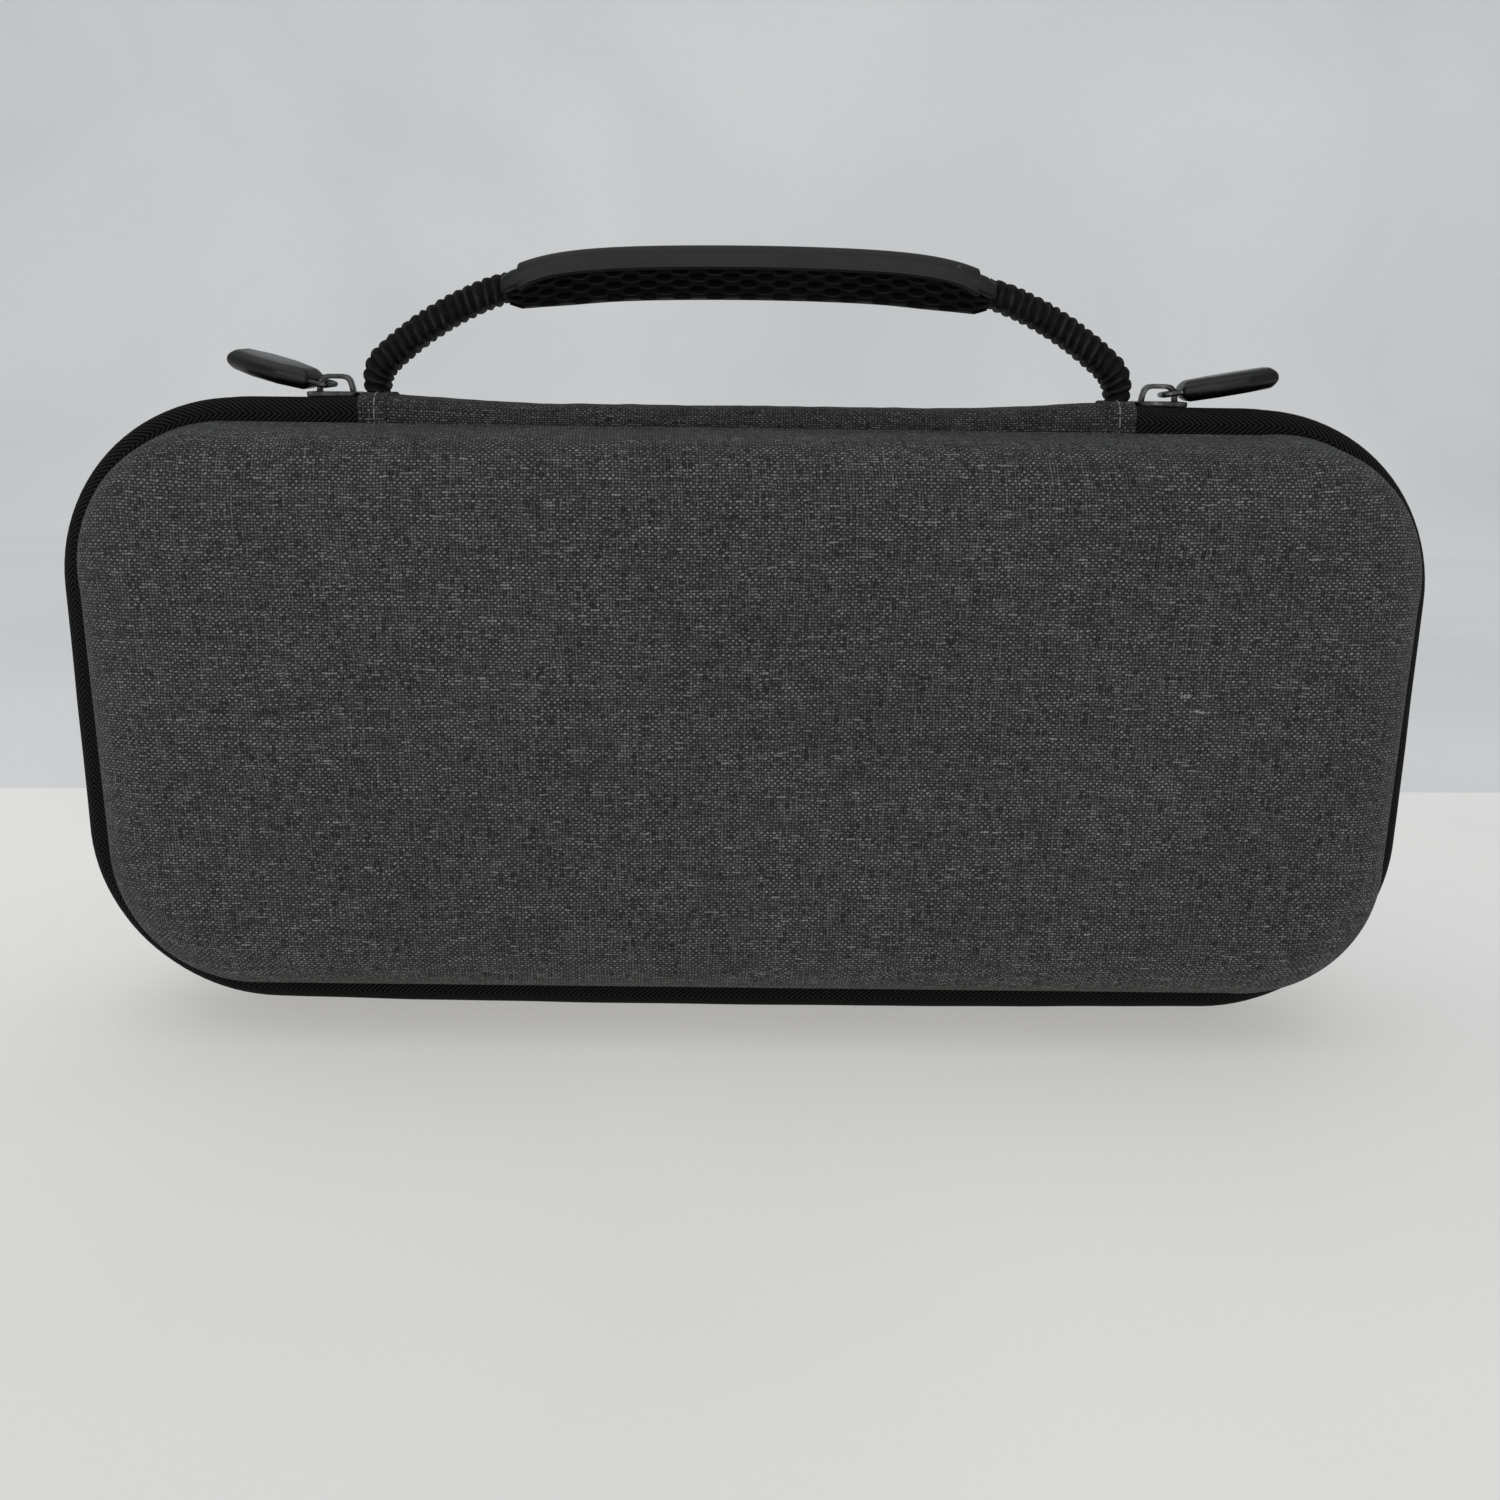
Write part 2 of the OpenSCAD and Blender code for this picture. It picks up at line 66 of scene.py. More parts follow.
SLIDER_LEN, PLATE_T, NECK_W, PLAY, BRIDGE_W, EYE_H = 13.0, 1.3, 2.0, 0.3, 2.4, 3.2
BAR_D, LINK_W, TAB_LEN, TAB_W, TAB_T = 1.3, 7.2, 24.5, 12.5, 5.4
TAB_REACH, ARM_REACH = 4.4, 8.0
RIGHT_TILT, LEFT_TILT, LEFT_TURN, LEFT_ROLL = radians(10), radians(14), radians(18), radians(8)
COLS, ROWS, FOAM_WALL, RAIL_T, END_T, PAD_T = 7, 2, 6.0, 8.0, 16.0, 6.0

FACE_D = HALF_BAND + SHELL_D
CROWN = 2 * BAND_PROUD + RIM_H
MID_Z = BAND_PROUD + RIM_H / 2
CX, CZ = RIM_W / 2 - RIM_R, RIM_H / 2 - RIM_R  # centres of the corners, from the middle of the rim
ARCH_Z = MID_Z + CZ
INNER_T = SHELL_T + LINING_T
ROUND_D = FACE_D - EDGE_R
ROUND_X = RIM_R - (EDGE_R + (ROUND_D - HALF_BAND) * sin(DRAFT)) / cos(DRAFT)
BAND_TOP, FLANGE_X = RIM_R + BAND_PROUD, RIM_R - SHELL_T
SPINE_LEN = STRAP_SPAN + 2 * FOOT_INSET
SLIDER_X = SPINE_LEN / 2 + 0.8 + SLIDER_LEN / 2
SLIDER_W = 2 * HALF_BAND - 2 * BAND_R - 1
NECK_LEN = 3.6
NECK_X = SLIDER_LEN / 2 - 0.8 - NECK_LEN
BAR_Z = CROWN + PLAY + PLATE_T + EYE_H / 2
TAIL_END = CX - 0.3
FOOT_X, FOOT_Z, FOOT_RISE = STRAP_SPAN / 2, CROWN + CUFF_PROUD, 3.0
BEND_C = np.array([FOOT_X - FOOT_R, FOOT_Z + FOOT_RISE])
ARM_C = BEND_C + (FOOT_R - ARM_R) * np.array([cos(FOOT_TURN), sin(FOOT_TURN)])
ARM_A = FOOT_TURN + ARM_TURN
ARM_END = ARM_C + ARM_R * np.array([cos(ARM_A), sin(ARM_A)])
WEB_R = ARM_END[0] / cos(ARM_A)
GRIP_TOP = ARM_END[1] - WEB_R * sin(ARM_A) + WEB_R + WEB_T / 2 + GRIP_COVER
GRIP_END = GRIP_LEN / 2 + 1.5
END_LEAN = (COVER_T / 2 - GATHER_D) * (GRIP_END - ARM_C[0]) / ARM_R + 0.2
STRAP_A = math.acos((GRIP_END + END_LEAN - ARM_C[0]) / ARM_R)
BEND_L = FOOT_R * FOOT_TURN
STRAP_L = FOOT_RISE + BEND_L + ARM_R * (STRAP_A - FOOT_TURN)

FRONT, BACK = -1, 1
HALVES = ((FRONT, "front", "lid"), (BACK, "back", "base"))
SIDES = ((-1, "left"), (1, "right"))


# ---- materials


class Wire:
    """A node's output as a term of a formula: each sum, product or quotient adds a Math node."""

    def __init__(self, surface, socket):
        self.surface, self.socket = surface, socket

    def formula(op):
        return lambda self, other: self.surface.math(op, self, other)

    __add__, __sub__, __mul__, __truediv__ = map(formula, ("ADD", "SUBTRACT", "MULTIPLY", "DIVIDE"))


class Surface:
    """A procedural material, built node by node."""

    def __init__(self, name, rough, specular=0.5, metallic=0.0, sheen=0.0):
        self.material = bpy.data.materials.new(name)
        self.material.use_nodes = True
        self.tree = self.material.node_tree
        self.tree.nodes.clear()
        out = self.tree.nodes.new("ShaderNodeOutputMaterial")
        self.shader = self.tree.nodes.new("ShaderNodeBsdfPrincipled")
        self.tree.links.new(self.shader.outputs[0], out.inputs[0])
        self.set("Roughness", rough)
        self.set("Specular IOR Level", specular)
        self.set("Metallic", metallic)
        self.set("Sheen Weight", sheen)

    def put(self, socket, value):
        if isinstance(value, Wire):
            self.tree.links.new(value.socket, socket)
        else:
            socket.default_value = value

    def set(self, socket, value):
        self.put(self.shader.inputs[socket], value)

    def node(self, kind, inputs, output=0, **settings):
        """The output of a new node, whose inputs are a row, or go by their names or numbers."""
        node = self.tree.nodes.new("ShaderNode" + kind)
        for key, value in settings.items():
            setattr(node, key, value)
        for key, value in inputs.items() if isinstance(inputs, dict) else enumerate(inputs):
            self.put(node.inputs[key], value)
        return Wire(self, node.outputs[output])

    def math(self, op, *terms):
        return self.node("Math", terms, operation=op)

    def sine(self, term):
        return self.math("SINE", term)

    def vec(self, x, y, z=0.0):
        return self.node("CombineXYZ", (x, y, z))

    def split(self, vector):
        first = self.node("SeparateXYZ", (vector,))
        return [Wire(self, socket) for socket in first.socket.node.outputs]

    def cloth_uv(self):
        return self.node("UVMap", (), uv_map="cloth")

    def place(self):
        return self.node("TexCoord", (), "Object")

    def noise(self, vector, scale, detail=2.0, rough=0.5, warp=0.0):
        return self.node("TexNoise", {"Vector": vector, "Scale": scale, "Detail": detail, "Roughness": rough,
                                      "Distortion": warp})

    def cells(self, vector, scale):
        return self.node("TexVoronoi", {"Vector": vector, "Scale": scale}, "Distance")

    def lerp(self, share, a, b):
        return self.node("Mix", {0: share, 2: a, 3: b})

    def band(self, value, low, high, to_low=0.0, to_high=1.0):
        return self.node("MapRange", (value, low, high, to_low, to_high), interpolation_type="SMOOTHSTEP")

    def ramp(self, value, *stops):
        """Greys along a value: each stop is (at, grey), or (at, grey, tint)."""
        wire = self.node("ValToRGB", (value,))
        elements = wire.socket.node.color_ramp.elements
        while len(elements) < len(stops):
            elements.new(0.5)
        for element, (at, grey, *tint) in zip(elements, stops):
            element.position = at
            element.color = [grey * t for t in (tint or [NEUTRAL])[0]] + [1.0]
        return wire

    def made(self, color, height, distance, strength, rough=None):
        """The material, with its colour, its bump and, where it varies, its roughness."""
        self.set("Base Color", color)
        self.set("Normal", self.node("Bump", {"Height": height, "Distance": distance, "Strength": strength}))
        if rough:
            self.set("Roughness", rough)
        return self.material


NEUTRAL, COOL, WARM = (1.0, 1.0, 1.0), (0.97, 1.0, 1.04), (1.04, 1.0, 0.95)


def plain_weave(s, uv, pitch_x, pitch_y, streak):
    """Heathered plain weave, with a lighter weft than warp: its tone, and its height, both from 0 to 1."""
    x, y, _ = s.split(uv)
    wander, wobble = s.noise(uv, 9.0) - 0.5, s.noise(uv, 75.0, 1.0) - 0.5
    lean = wobble * 0.9 + wander * 1.3
    u, v = x * (UV_UNIT / pitch_x) + lean, y * (UV_UNIT / pitch_y) + lean
    i, j = s.math("FLOOR", u), s.math("FLOOR", v)
    skip = s.math("GREATER_THAN", s.noise(s.vec(i * 2.31, j * 2.93, 7.0), 1.0, 1.0), 0.64)
    over = s.math("FLOORED_MODULO", i + j + skip, 2.0)
    across_u, across_v = s.sine(s.math("FRACT", u) * pi), s.sine(s.math("FRACT", v) * pi)
    height = s.lerp(over, across_u * (across_v * 0.30 + 0.50), across_v * (across_u * 0.45 + 0.55))
    knot = s.noise(s.vec(i * 3.71, j * 5.13, 2.0), 1.0, 1.0)
    warp_tone = s.noise(s.vec(i * 5.37, v * streak), 1.0, 4.0, 0.8)
    weft_tone = s.noise(s.vec(u * streak, j * 5.37, 4.0), 1.0, 4.0, 0.8)
    return (knot - 0.5) * 0.28 + s.lerp(over, warp_tone - 0.10, weft_tone + 0.04), height


def heather_cloth(name, pitch, gain, marks=None):
    s = Surface(name, 0.88, 0.12, sheen=0.05)
    uv = s.cloth_uv()
    tone, height = plain_weave(s, uv, pitch, pitch * 0.92, 0.07)
    level = s.noise(uv, 1.6, 3.0, 0.6) * 0.16 + s.band(tone, 0.24, 0.76, 0.10, 0.80)
    # painted shade: the colour darkens where the threads dip, in the gaps between them, as shade would fall there
    light = level * s.band(height, 0.05, 0.85, 0.05, 1.0)
    if marks:
        light = light + marks(s)
    color = s.ramp(light, (0.0, 0.006 * gain), (0.28, 0.043 * gain), (0.62, 0.115 * gain), (1.0, 0.26 * gain))
    return s.made(color, s.noise(uv, 420.0) * 0.25 + height, 0.00022, 0.9, s.band(height, 0.0, 1.0, 0.96, 0.84))


def scuffs(s):
    """Two small rubbed marks on the front face, each with a place, radii and a lean, in metres."""
    place = s.place()
    x, y, z = s.split(place)
    spots = []
    for (cx, cz), (rx, rz), lean in (((0.1088, 0.0968), (0.0016, 0.0006), 0.1),
                                     ((0.1120, 0.0930), (0.0032, 0.0005), -0.2)):
        dx = x - cx
        long, wide = dx / rx, (z - cz - dx * lean) / rz
        spots.append(s.band(long * long + wide * wide, 0.2, 1.2, 0.75, 0.0))
    lightened = s.math("MAXIMUM", *spots) * s.band(s.noise(place, 1500.0), 0.35, 0.6)
    return lightened * s.math("LESS_THAN", y, -0.03)


def twill_tape(name, grey, pitch, rib, turn=5.0):
    """Narrow woven tape: slanting twill ridges that turn back at intervals of its width, with painted highlights on the
    ridge tops and painted shade in the valleys.
    """
    s = Surface(name, 0.8, 0.08)
    uv = s.cloth_uv()
    x, y, _ = s.split(uv)
    slant = s.math("PINGPONG", y * UV_UNIT, turn)
    wave = s.sine((x * UV_UNIT + (slant * 1.25 + s.noise(uv, 14.0))) * (2 * pi / pitch))
    thread = s.sine(y * (2 * pi * UV_UNIT / rib))
    height = thread * 0.16 + (wave * 0.38 + 0.5)
    fray = s.noise(uv, 260.0, 3.0, 0.7)
    # painted highlight and shade: the tone follows the height, so the ridge tops are many times lighter than the
    # valleys
    tone = fray * 0.35 + (height * 0.9 - 0.12)
    color = s.ramp(tone, (0.2, 0.15 * grey, COOL), (0.52, 0.7 * grey), (0.84, 5.5 * grey))
    return s.made(color, height, 0.0003, 0.9, s.band(fray, 0.3, 0.7, 0.74, 0.88))


def gathered_cloth():
    """Gathered cloth: its u counts the puckers, whose crests carry a painted highlight, in patches, so they read
    lighter than their valleys.
    """
    s = Surface("gathered_cloth", 0.75, 0.16)
    place = s.place()
    x, y, _ = s.split(s.cloth_uv())
    crest = s.math("ABSOLUTE", s.sine(x * (pi * UV_UNIT)))
    rib, thread = s.sine(x * (6 * pi * UV_UNIT)), s.sine(y * (2 * pi * UV_UNIT / 0.7))
    height = rib * thread * 0.35 + s.noise(place, 900.0, 3.0)
    patchy = s.noise(place, 260.0, 3.0)
    # painted highlight: thin light lines along the crests of the puckers, stronger in some patches than others
    lightened = s.math("POWER", crest, 5.0) * s.band(patchy, 0.3, 0.65, 0.25, 1.0)
    color = s.ramp(lightened * 0.7 + height * 0.25, (0.1, 0.0012), (0.45, 0.0045), (0.95, 0.030))
    return s.made(color, height, 0.00025, 0.8, s.band(patchy, 0.3, 0.7, 0.6, 0.8))


def rubber(name, dark, light, rough, grain_scale, shine=0.32, speck=False):
    """Moulded rubber: a fine grain, a little bloom and, on the grip, specks of dust."""
    s = Surface(name, rough, shine)
    place = s.place()
    bloom, grain = s.noise(place, 45.0, 4.0, 0.6), s.noise(place, grain_scale, 3.0, 0.6)
    tone = grain * 0.3 + bloom * 0.7
    if speck:
        dots = s.band(s.cells(place, 150.0), 0.05, 0.12, 0.5, 0.0)
        tone = dots * s.band(s.noise(place, 70.0, 1.0), 0.56, 0.66) + tone
    color = s.ramp(tone, (0.3, dark, COOL), (0.6, light), (1.0, light * 4.0))
    return s.made(color, grain, 0.00006, 0.7, s.band(bloom, 0.3, 0.7, rough - 0.06, rough + 0.1))


def plated_metal():
    s = Surface("plated_metal", 0.32, 0.5, metallic=1.0)
    place = s.place()
    wear = s.noise(place, 320.0, 4.0, 0.6)
    color = s.ramp(wear, (0.35, 0.035, COOL), (0.55, 0.07), (0.75, 0.22))
    return s.made(color, s.noise(place, 1400.0), 0.00003, 0.5, s.band(wear, 0.3, 0.7, 0.42, 0.26))


def lining_cloth():
    s = Surface("lining_cloth", 0.85, 0.25, sheen=0.3)
    x, y, _ = s.split(s.cloth_uv())
    rib, loop = s.sine(x * (2 * pi * UV_UNIT / 0.8)), s.sine(y * (2 * pi * UV_UNIT / 0.6))
    height = rib * loop * 0.4 + 0.5
    nap = s.noise(s.place(), 90.0, 4.0, 0.65)
    color = s.ramp(nap * 0.7 + height * 0.3, (0.25, 0.012, COOL), (0.55, 0.026), (0.85, 0.05))
    return s.made(color, height, 0.00015, 0.7)


def open_foam():
    s = Surface("open_foam", 0.95, 0.1)
    place = s.place()
    pores, coarse = s.cells(place, 1300.0), s.noise(place, 500.0, 4.0, 0.7)
    tone = s.noise(place, 25.0, 3.0) * 0.35 + (coarse * 0.45 + pores * 0.3)
    return s.made(s.ramp(tone, (0.25, 0.010, COOL), (0.55, 0.030), (0.9, 0.062)), pores + coarse, 0.0004, 0.8)


def sewing_thread(name, grey):
    s = Surface(name, 0.6, 0.4, sheen=0.2)
    ply = s.sine(s.noise(s.place(), 900.0) * 14.0)
    return s.made(s.ramp(ply * 0.25 + 0.5, (0.2, 0.5 * grey, WARM), (0.8, 1.3 * grey)), ply, 0.00005, 0.6)


def sheet_cloth(name, grey, glow, tint):
    """The pale cloth of the floor and the backdrop, which glows faintly: painted light that lifts the shadows on it and
    lights the case, brighter and darker in soft patches as painted shading of folds.
    """
    s = Surface(name, 0.9, 0.2)
    place = s.place()
    folds, fine = s.noise(place, 2.6, 3.0, 0.5, 0.4), s.noise(place, 420.0)
    # painted light: the cloth glows, and its glow and colour vary in soft patches like light and shade on folds
    s.set("Emission Color", s.ramp(folds, (0.3, 0.93, tint), (0.5, 1.0, tint), (0.7, 1.06, tint)))
    s.set("Emission Strength", glow)
    color = s.ramp(fine * 0.15 + folds * 0.85, (0.3, grey * 0.95, COOL), (0.7, grey * 1.03))
    return s.made(color, fine * 0.004 + folds, 0.02, 0.25)


SHELL_CLOTH = heather_cloth("heather_cloth", 0.78, 1.09, scuffs)
SPINE_CLOTH = heather_cloth("spine_heather", 0.70, 0.77)
ZIP_TAPE = twill_tape("zip_twill", 0.0041, 1.45, 0.5, 7.2)
BINDING_TAPE = twill_tape("binding_twill", 0.007, 0.8, 0.45)
WEBBING = twill_tape("webbing_twill", 0.007, 1.3, 0.6)
STRAP_CLOTH = gathered_cloth()
GRIP_RUBBER = rubber("grip_rubber", 0.0045, 0.010, 0.5, 1600.0, speck=True)
TAB_RUBBER = rubber("tab_rubber", 0.0012, 0.004, 0.30, 1200.0)
# the grip's underside: a darker copy of the grip's rubber, painted shade under the cap
SHADED_BELLY_RUBBER = rubber("shaded_belly_rubber", 0.0009, 0.0026, 0.55, 1600.0, 0.2)
# the pockets' sunken faces: a still darker rubber, painted shade in the pockets
POCKET_SHADE_RUBBER = rubber("pocket_shade_rubber", 0.0008, 0.0018, 0.7, 1600.0, 0.15)
COIL_NYLON = rubber("coil_nylon", 0.004, 0.010, 0.4, 2000.0)
SLIDER_METAL = plated_metal()
LINING_CLOTH = lining_cloth()
FOAM = open_foam()
PALE_THREAD = sewing_thread("pale_thread", 0.17)
DARK_THREAD = sewing_thread("dark_thread", 0.02)


# ---- mesh helpers


def linked(name, data):
    ob = bpy.data.objects.new(name, data)
    scene.collection.objects.link(ob)
    return ob


def piece(name, shape, material, sharp=40.0, marked=None, second=None):
    """A new object from a shape: points in mm, faces and, or None, each point's place on the flat cloth, in mm. Its
    marked faces take the second material."""
    verts, faces, uv = shape
    me = bpy.data.meshes.new(name)
    me.from_pydata((np.asarray(verts, float) * MM).tolist(), [], [list(f) for f in faces])
    if uv is not None:
        layer = me.uv_layers.new(name="cloth")
        corner = np.empty(len(me.loops), np.int32)
        me.loops.foreach_get("vertex_index", corner)
        layer.uv.foreach_set("vector", (np.asarray(uv, np.float32)[corner] / UV_UNIT).ravel())
    if marked is not None:
        me.polygons.foreach_set("material_index", np.asarray(marked, np.int32))
    work = bmesh.new()
    work.from_mesh(me)
    bmesh.ops.remove_doubles(work, verts=work.verts, dist=1e-6)
    bmesh.ops.dissolve_degenerate(work, edges=work.edges, dist=1e-7)
    bmesh.ops.recalc_face_normals(work, faces=work.faces)
    work.to_mesh(me)
    work.free()
    smooth(me, sharp)
    for m in (material, second):
        if m is not None:
            me.materials.append(m)
    return linked(name, me)


def smooth(me, sharp):
    me.polygons.foreach_set("use_smooth", np.ones(len(me.polygons), bool))
    me.set_sharp_from_angle(angle=radians(sharp))


def seat(ob, body, slot, *nodes):
    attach(ob, body)
    if nodes:
        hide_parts(*nodes)


def evaluated_mesh(ob):
    bpy.context.view_layer.update()
    return bpy.data.meshes.new_from_object(ob.evaluated_get(bpy.context.evaluated_depsgraph_get()))


def softened(ob, width, segments, angle, sharp=35.0):
    """Rounds the edges of ob's mesh by a bevel, in mm, and leaves no modifier."""
    mod = ob.modifiers.new("bevel", "BEVEL")
    mod.width, mod.segments = width * MM, segments
    mod.limit_method, mod.angle_limit = "ANGLE", radians(angle)
    mod.harden_normals = False
    old, new = ob.data, evaluated_mesh(ob)
    ob.modifiers.clear()
    ob.data = new
    new.name = ob.name
    bpy.data.meshes.remove(old)
    smooth(new, sharp)


def joined(shapes):
    """One shape from several."""
    verts, faces, uv = zip(*shapes)
    starts = np.cumsum([0] + [len(v) for v in verts]).tolist()
    moved = [[k + start for k in face] for start, part in zip(starts, faces) for face in part]
    return np.concatenate(verts), moved, None if uv[0] is None else np.concatenate(uv)


def unit(v):
    return min(1.0, max(0.0, v))


def bulged(v, power):
    """A sine or cosine that makes a circle squarer, or slimmer."""
    return abs(v) ** power * np.sign(v)


def arc(c, r, a0, a1, n):
    return [(c[0] + r * cos(a), c[1] + r * sin(a)) for a in np.linspace(a0, a1, n + 1)]


def mirrored(half, flip_x, flip_y):
    """An outline from its one half, which comes back mirrored."""
    return half + [(x * flip_x, y * flip_y) for x, y in half[::-1]]


def loft(n, k, loop=False):
    """Faces over n rings of k points: a skin with a face at both ends, or one that runs back into itself."""
    faces = [(a * k + b, (a + 1) % n * k + b, (a + 1) % n * k + (b + 1) % k, a * k + (b + 1) % k)
             for a in range(n if loop else n - 1) for b in range(k)]
    return faces if loop else faces + [tuple(range(k)), tuple(range((n - 1) * k, n * k))]


def bend(cx, cz, a0, a1, n):
    return [(cx, cz, cos(a), sin(a)) for a in np.linspace(radians(a0), radians(a1), n, endpoint=False)]


def straight(x0, z0, x1, z1, a, n):
    return [(x0 + (x1 - x0) * t, z0 + (z1 - z0) * t, cos(radians(a)), sin(radians(a)))
            for t in np.linspace(0, 1, n, endpoint=False)]


# Stations (centre x, z and outward x, z) round the case, anticlockwise from its right side
N_CORNER, N_LONG, N_SHORT = 24, 56, 16
RIGHT_BEND, LEFT_BEND = bend(CX, CZ, 0, 90, N_CORNER), bend(-CX, CZ, 90, 180, N_CORNER)
LOWER_RUN = (straight(-CX, CZ, -CX, -CZ, 180, N_SHORT) + bend(-CX, -CZ, 180, 270, N_CORNER)
             + straight(-CX, -CZ, CX, -CZ, 270, N_LONG) + bend(CX, -CZ, 270, 360, N_CORNER)
             + straight(CX, -CZ, CX, CZ, 360, N_SHORT))
RING = RIGHT_BEND + straight(CX, CZ, -CX, CZ, 90, N_LONG) + LEFT_BEND + LOWER_RUN


def across(points):
    """Length from the first point to each of a row."""
    steps = np.diff(np.asarray(points, float), axis=0)
    return np.concatenate([[0], np.cumsum(np.linalg.norm(steps, axis=1))])


def along(stations, radius):
    """Length along a run of stations, at a radius from the corner axes."""
    return across([(cx + nx * radius, cz + nz * radius) for cx, cz, nx, nz in stations])


def swept(profile, stations, side, u0=0.0, loop=False, shift=None):
    """A closed profile of (out, depth) points swept along stations; a run that isn't a loop gets end faces.
    shift gives how far a point moves out, and in depth."""
    n, k = len(stations), len(profile)
    run, wide = along(stations, RIM_R), across(profile)
    verts, uv = np.zeros((n, k, 3)), np.zeros((n, k, 2))
    for a, (cx, cz, nx, nz) in enumerate(stations):
        for b, (r, d) in enumerate(profile):
            dr, dd = shift(stations[a], (r, d), run[a], run[-1]) if shift else (0.0, 0.0)
            verts[a, b] = (cx + nx * (r + dr), side * (d + dd), MID_Z + cz + nz * (r + dr))
            uv[a, b] = (u0 + run[a], wide[b])
    return verts.reshape(-1, 3), loft(n, k, loop), uv.reshape(-1, 2)


def wall(inset, n=12):
    """A shell's section, an inset under its outside: (out, depth), with the wall in short steps."""
    top = (RIM_R - inset / cos(DRAFT), HALF_BAND)
    turn = arc((ROUND_X, ROUND_D), EDGE_R - inset, DRAFT, pi / 2, n)
    steps = [(top[0] + (turn[0][0] - top[0]) * t, top[1] + (turn[0][1] - top[1]) * t)
             for t in np.linspace(0, 1, 5, endpoint=False)]
    return steps + turn


def tray(profile, side, shape=None):
    """A profile of (out, depth) from the rim to the face, swept round the case and closed by the face's own grid.
    Its uv is the flat cloth: the face as it lies, and the walls unrolled round it."""
    r_end, depth = profile[-1]
    profile = profile + [(r_end * t, depth) for t in (0.75, 0.5, 0.25, 0.0)]
    flat = across(profile)
    flat = flat[-1] - flat
    n, k = len(RING), len(profile)
    verts, uv = np.zeros((n, k, 3)), np.zeros((n, k, 2))
    for a, (cx, cz, nx, nz) in enumerate(RING):
        for b, (r, d) in enumerate(profile):
            verts[a, b] = (cx + nx * r, d, cz + nz * r)
            uv[a, b] = (cx + nx * flat[b], cz + nz * flat[b])
    faces = [(a * k + b, (a + 1) % n * k + b, (a + 1) % n * k + b + 1, a * k + b + 1)
             for a in range(n) for b in range(k - 1)]
    xs, zs = np.linspace(-CX, CX, N_LONG + 1), np.linspace(-CZ, CZ, N_SHORT + 1)
    grid = np.array([(x, depth, z) for x in xs for z in zs])
    base, m = n * k, len(zs)
    faces += [(base + i * m + j, base + i * m + j + 1, base + (i + 1) * m + j + 1, base + (i + 1) * m + j)
              for i in range(len(xs) - 1) for j in range(m - 1)]
    verts = np.concatenate([verts.reshape(-1, 3), grid])
    uv = np.concatenate([uv.reshape(-1, 2), grid[:, [0, 2]]])
    if shape is not None:
        verts = shape(verts)
    verts[:, 1] *= side
    verts[:, 2] += MID_Z
    return verts, faces, uv


def tube(path, radius, n=10, loop=False):
    """A round tube along points; its ends are closed by faces."""
    p = np.asarray(path, float)
    t = np.roll(p, -1, 0) - np.roll(p, 1, 0) if loop else np.gradient(p, axis=0)
    t /= np.linalg.norm(t, axis=1, keepdims=True)
    ref = np.array([0.0, 0.0, 1.0]) if abs(t[0] @ [0, 0, 1]) < 0.9 else np.array([0.0, 1.0, 0.0])
    verts, u = [], np.cross(t[0], ref)
    for at, way in zip(p, t):
        u = u - way * (u @ way)
        u /= np.linalg.norm(u)
        w = np.cross(way, u)
        verts += [at + radius * (cos(q) * u + sin(q) * w) for q in np.arange(n) * 2 * pi / n]
    return np.array(verts), loft(len(p), n, loop), None


def stitch(a, b, up, radius, rise):
    """One sewn stitch from a to b: a short thread that dips into the cloth at both ends."""
    dip = 0.12
    return tube([a + (b - a) * t + up * (rise * sin(pi * t) ** 0.6 - dip) for t in np.linspace(0, 1, 6)], radius, 6)


def drift(x, seed, size):
    """Smooth noise from -1 to 1 along a length."""
    return noise.noise(Vector((x / size, seed * 7.7, 0.3)))


# ---- shells, linings and bindings

FACE_SHIFT = {FRONT: (2.3, 2.1), BACK: (0.0, 0.0)}  # of the face from the middle of the rim, right and up


def crowned(verts, lean_x, lean_z):
    """A moulded shell: full walls that flare over the band at the top, a slight crown, and the small unevenness of
    cloth over foam. The face sits a little off the middle of the rim, as the zipped lid does."""
    out = verts.copy()
    for v in out:
        away = Vector((v[0] - min(CX, max(-CX, v[0])), v[2] - min(CZ, max(-CZ, v[2]))))
        deep = unit((v[1] - HALF_BAND - 0.5) / (SHELL_D - 2))
        high = 0.15 + 0.85 * unit(v[2] / 140 + 0.5)
        skew = 2 * abs(away.x * away.y) / max(away.length_squared, 1e-9)
        corner = 0.5 if v[0] < 0 and v[2] < 0 else 1.5
        full = (2.1 * high + corner * skew) * sin(pi * deep ** 1.3) * min(1.0, away.length / 20)
        if away.length > 1e-6:
            hem = 1.0 if v[1] > HALF_BAND + 0.1 else unit((away.length - RIM_R + 2.2) / 0.8)
            flare = 1.2 - 0.2 * min(1.0, max(-1.0, v[0] / CX)) + (2.4 if v[0] > 0 else 1.0) * skew
            full += flare * max(0.0, away.y / away.length) * (1 - deep) * hem
            v[0] += away.x / away.length * full
            v[2] += away.y / away.length * full
        off = max(0.0, v[1] - HALF_BAND - 1) / SHELL_D
        v[0] += lean_x * off
        v[2] += lean_z * off
        face = unit((v[1] - ROUND_D) / EDGE_R) ** 2
        bulge = 0.55 * max(0.0, 1 - (v[0] / 165) ** 2) * max(0.0, 1 - (v[2] / 72) ** 2)
        bulge += 0.14 * noise.noise(Vector((v[0] / 34, v[2] / 26, 1.7)))
        v[1] += face * bulge
    return out


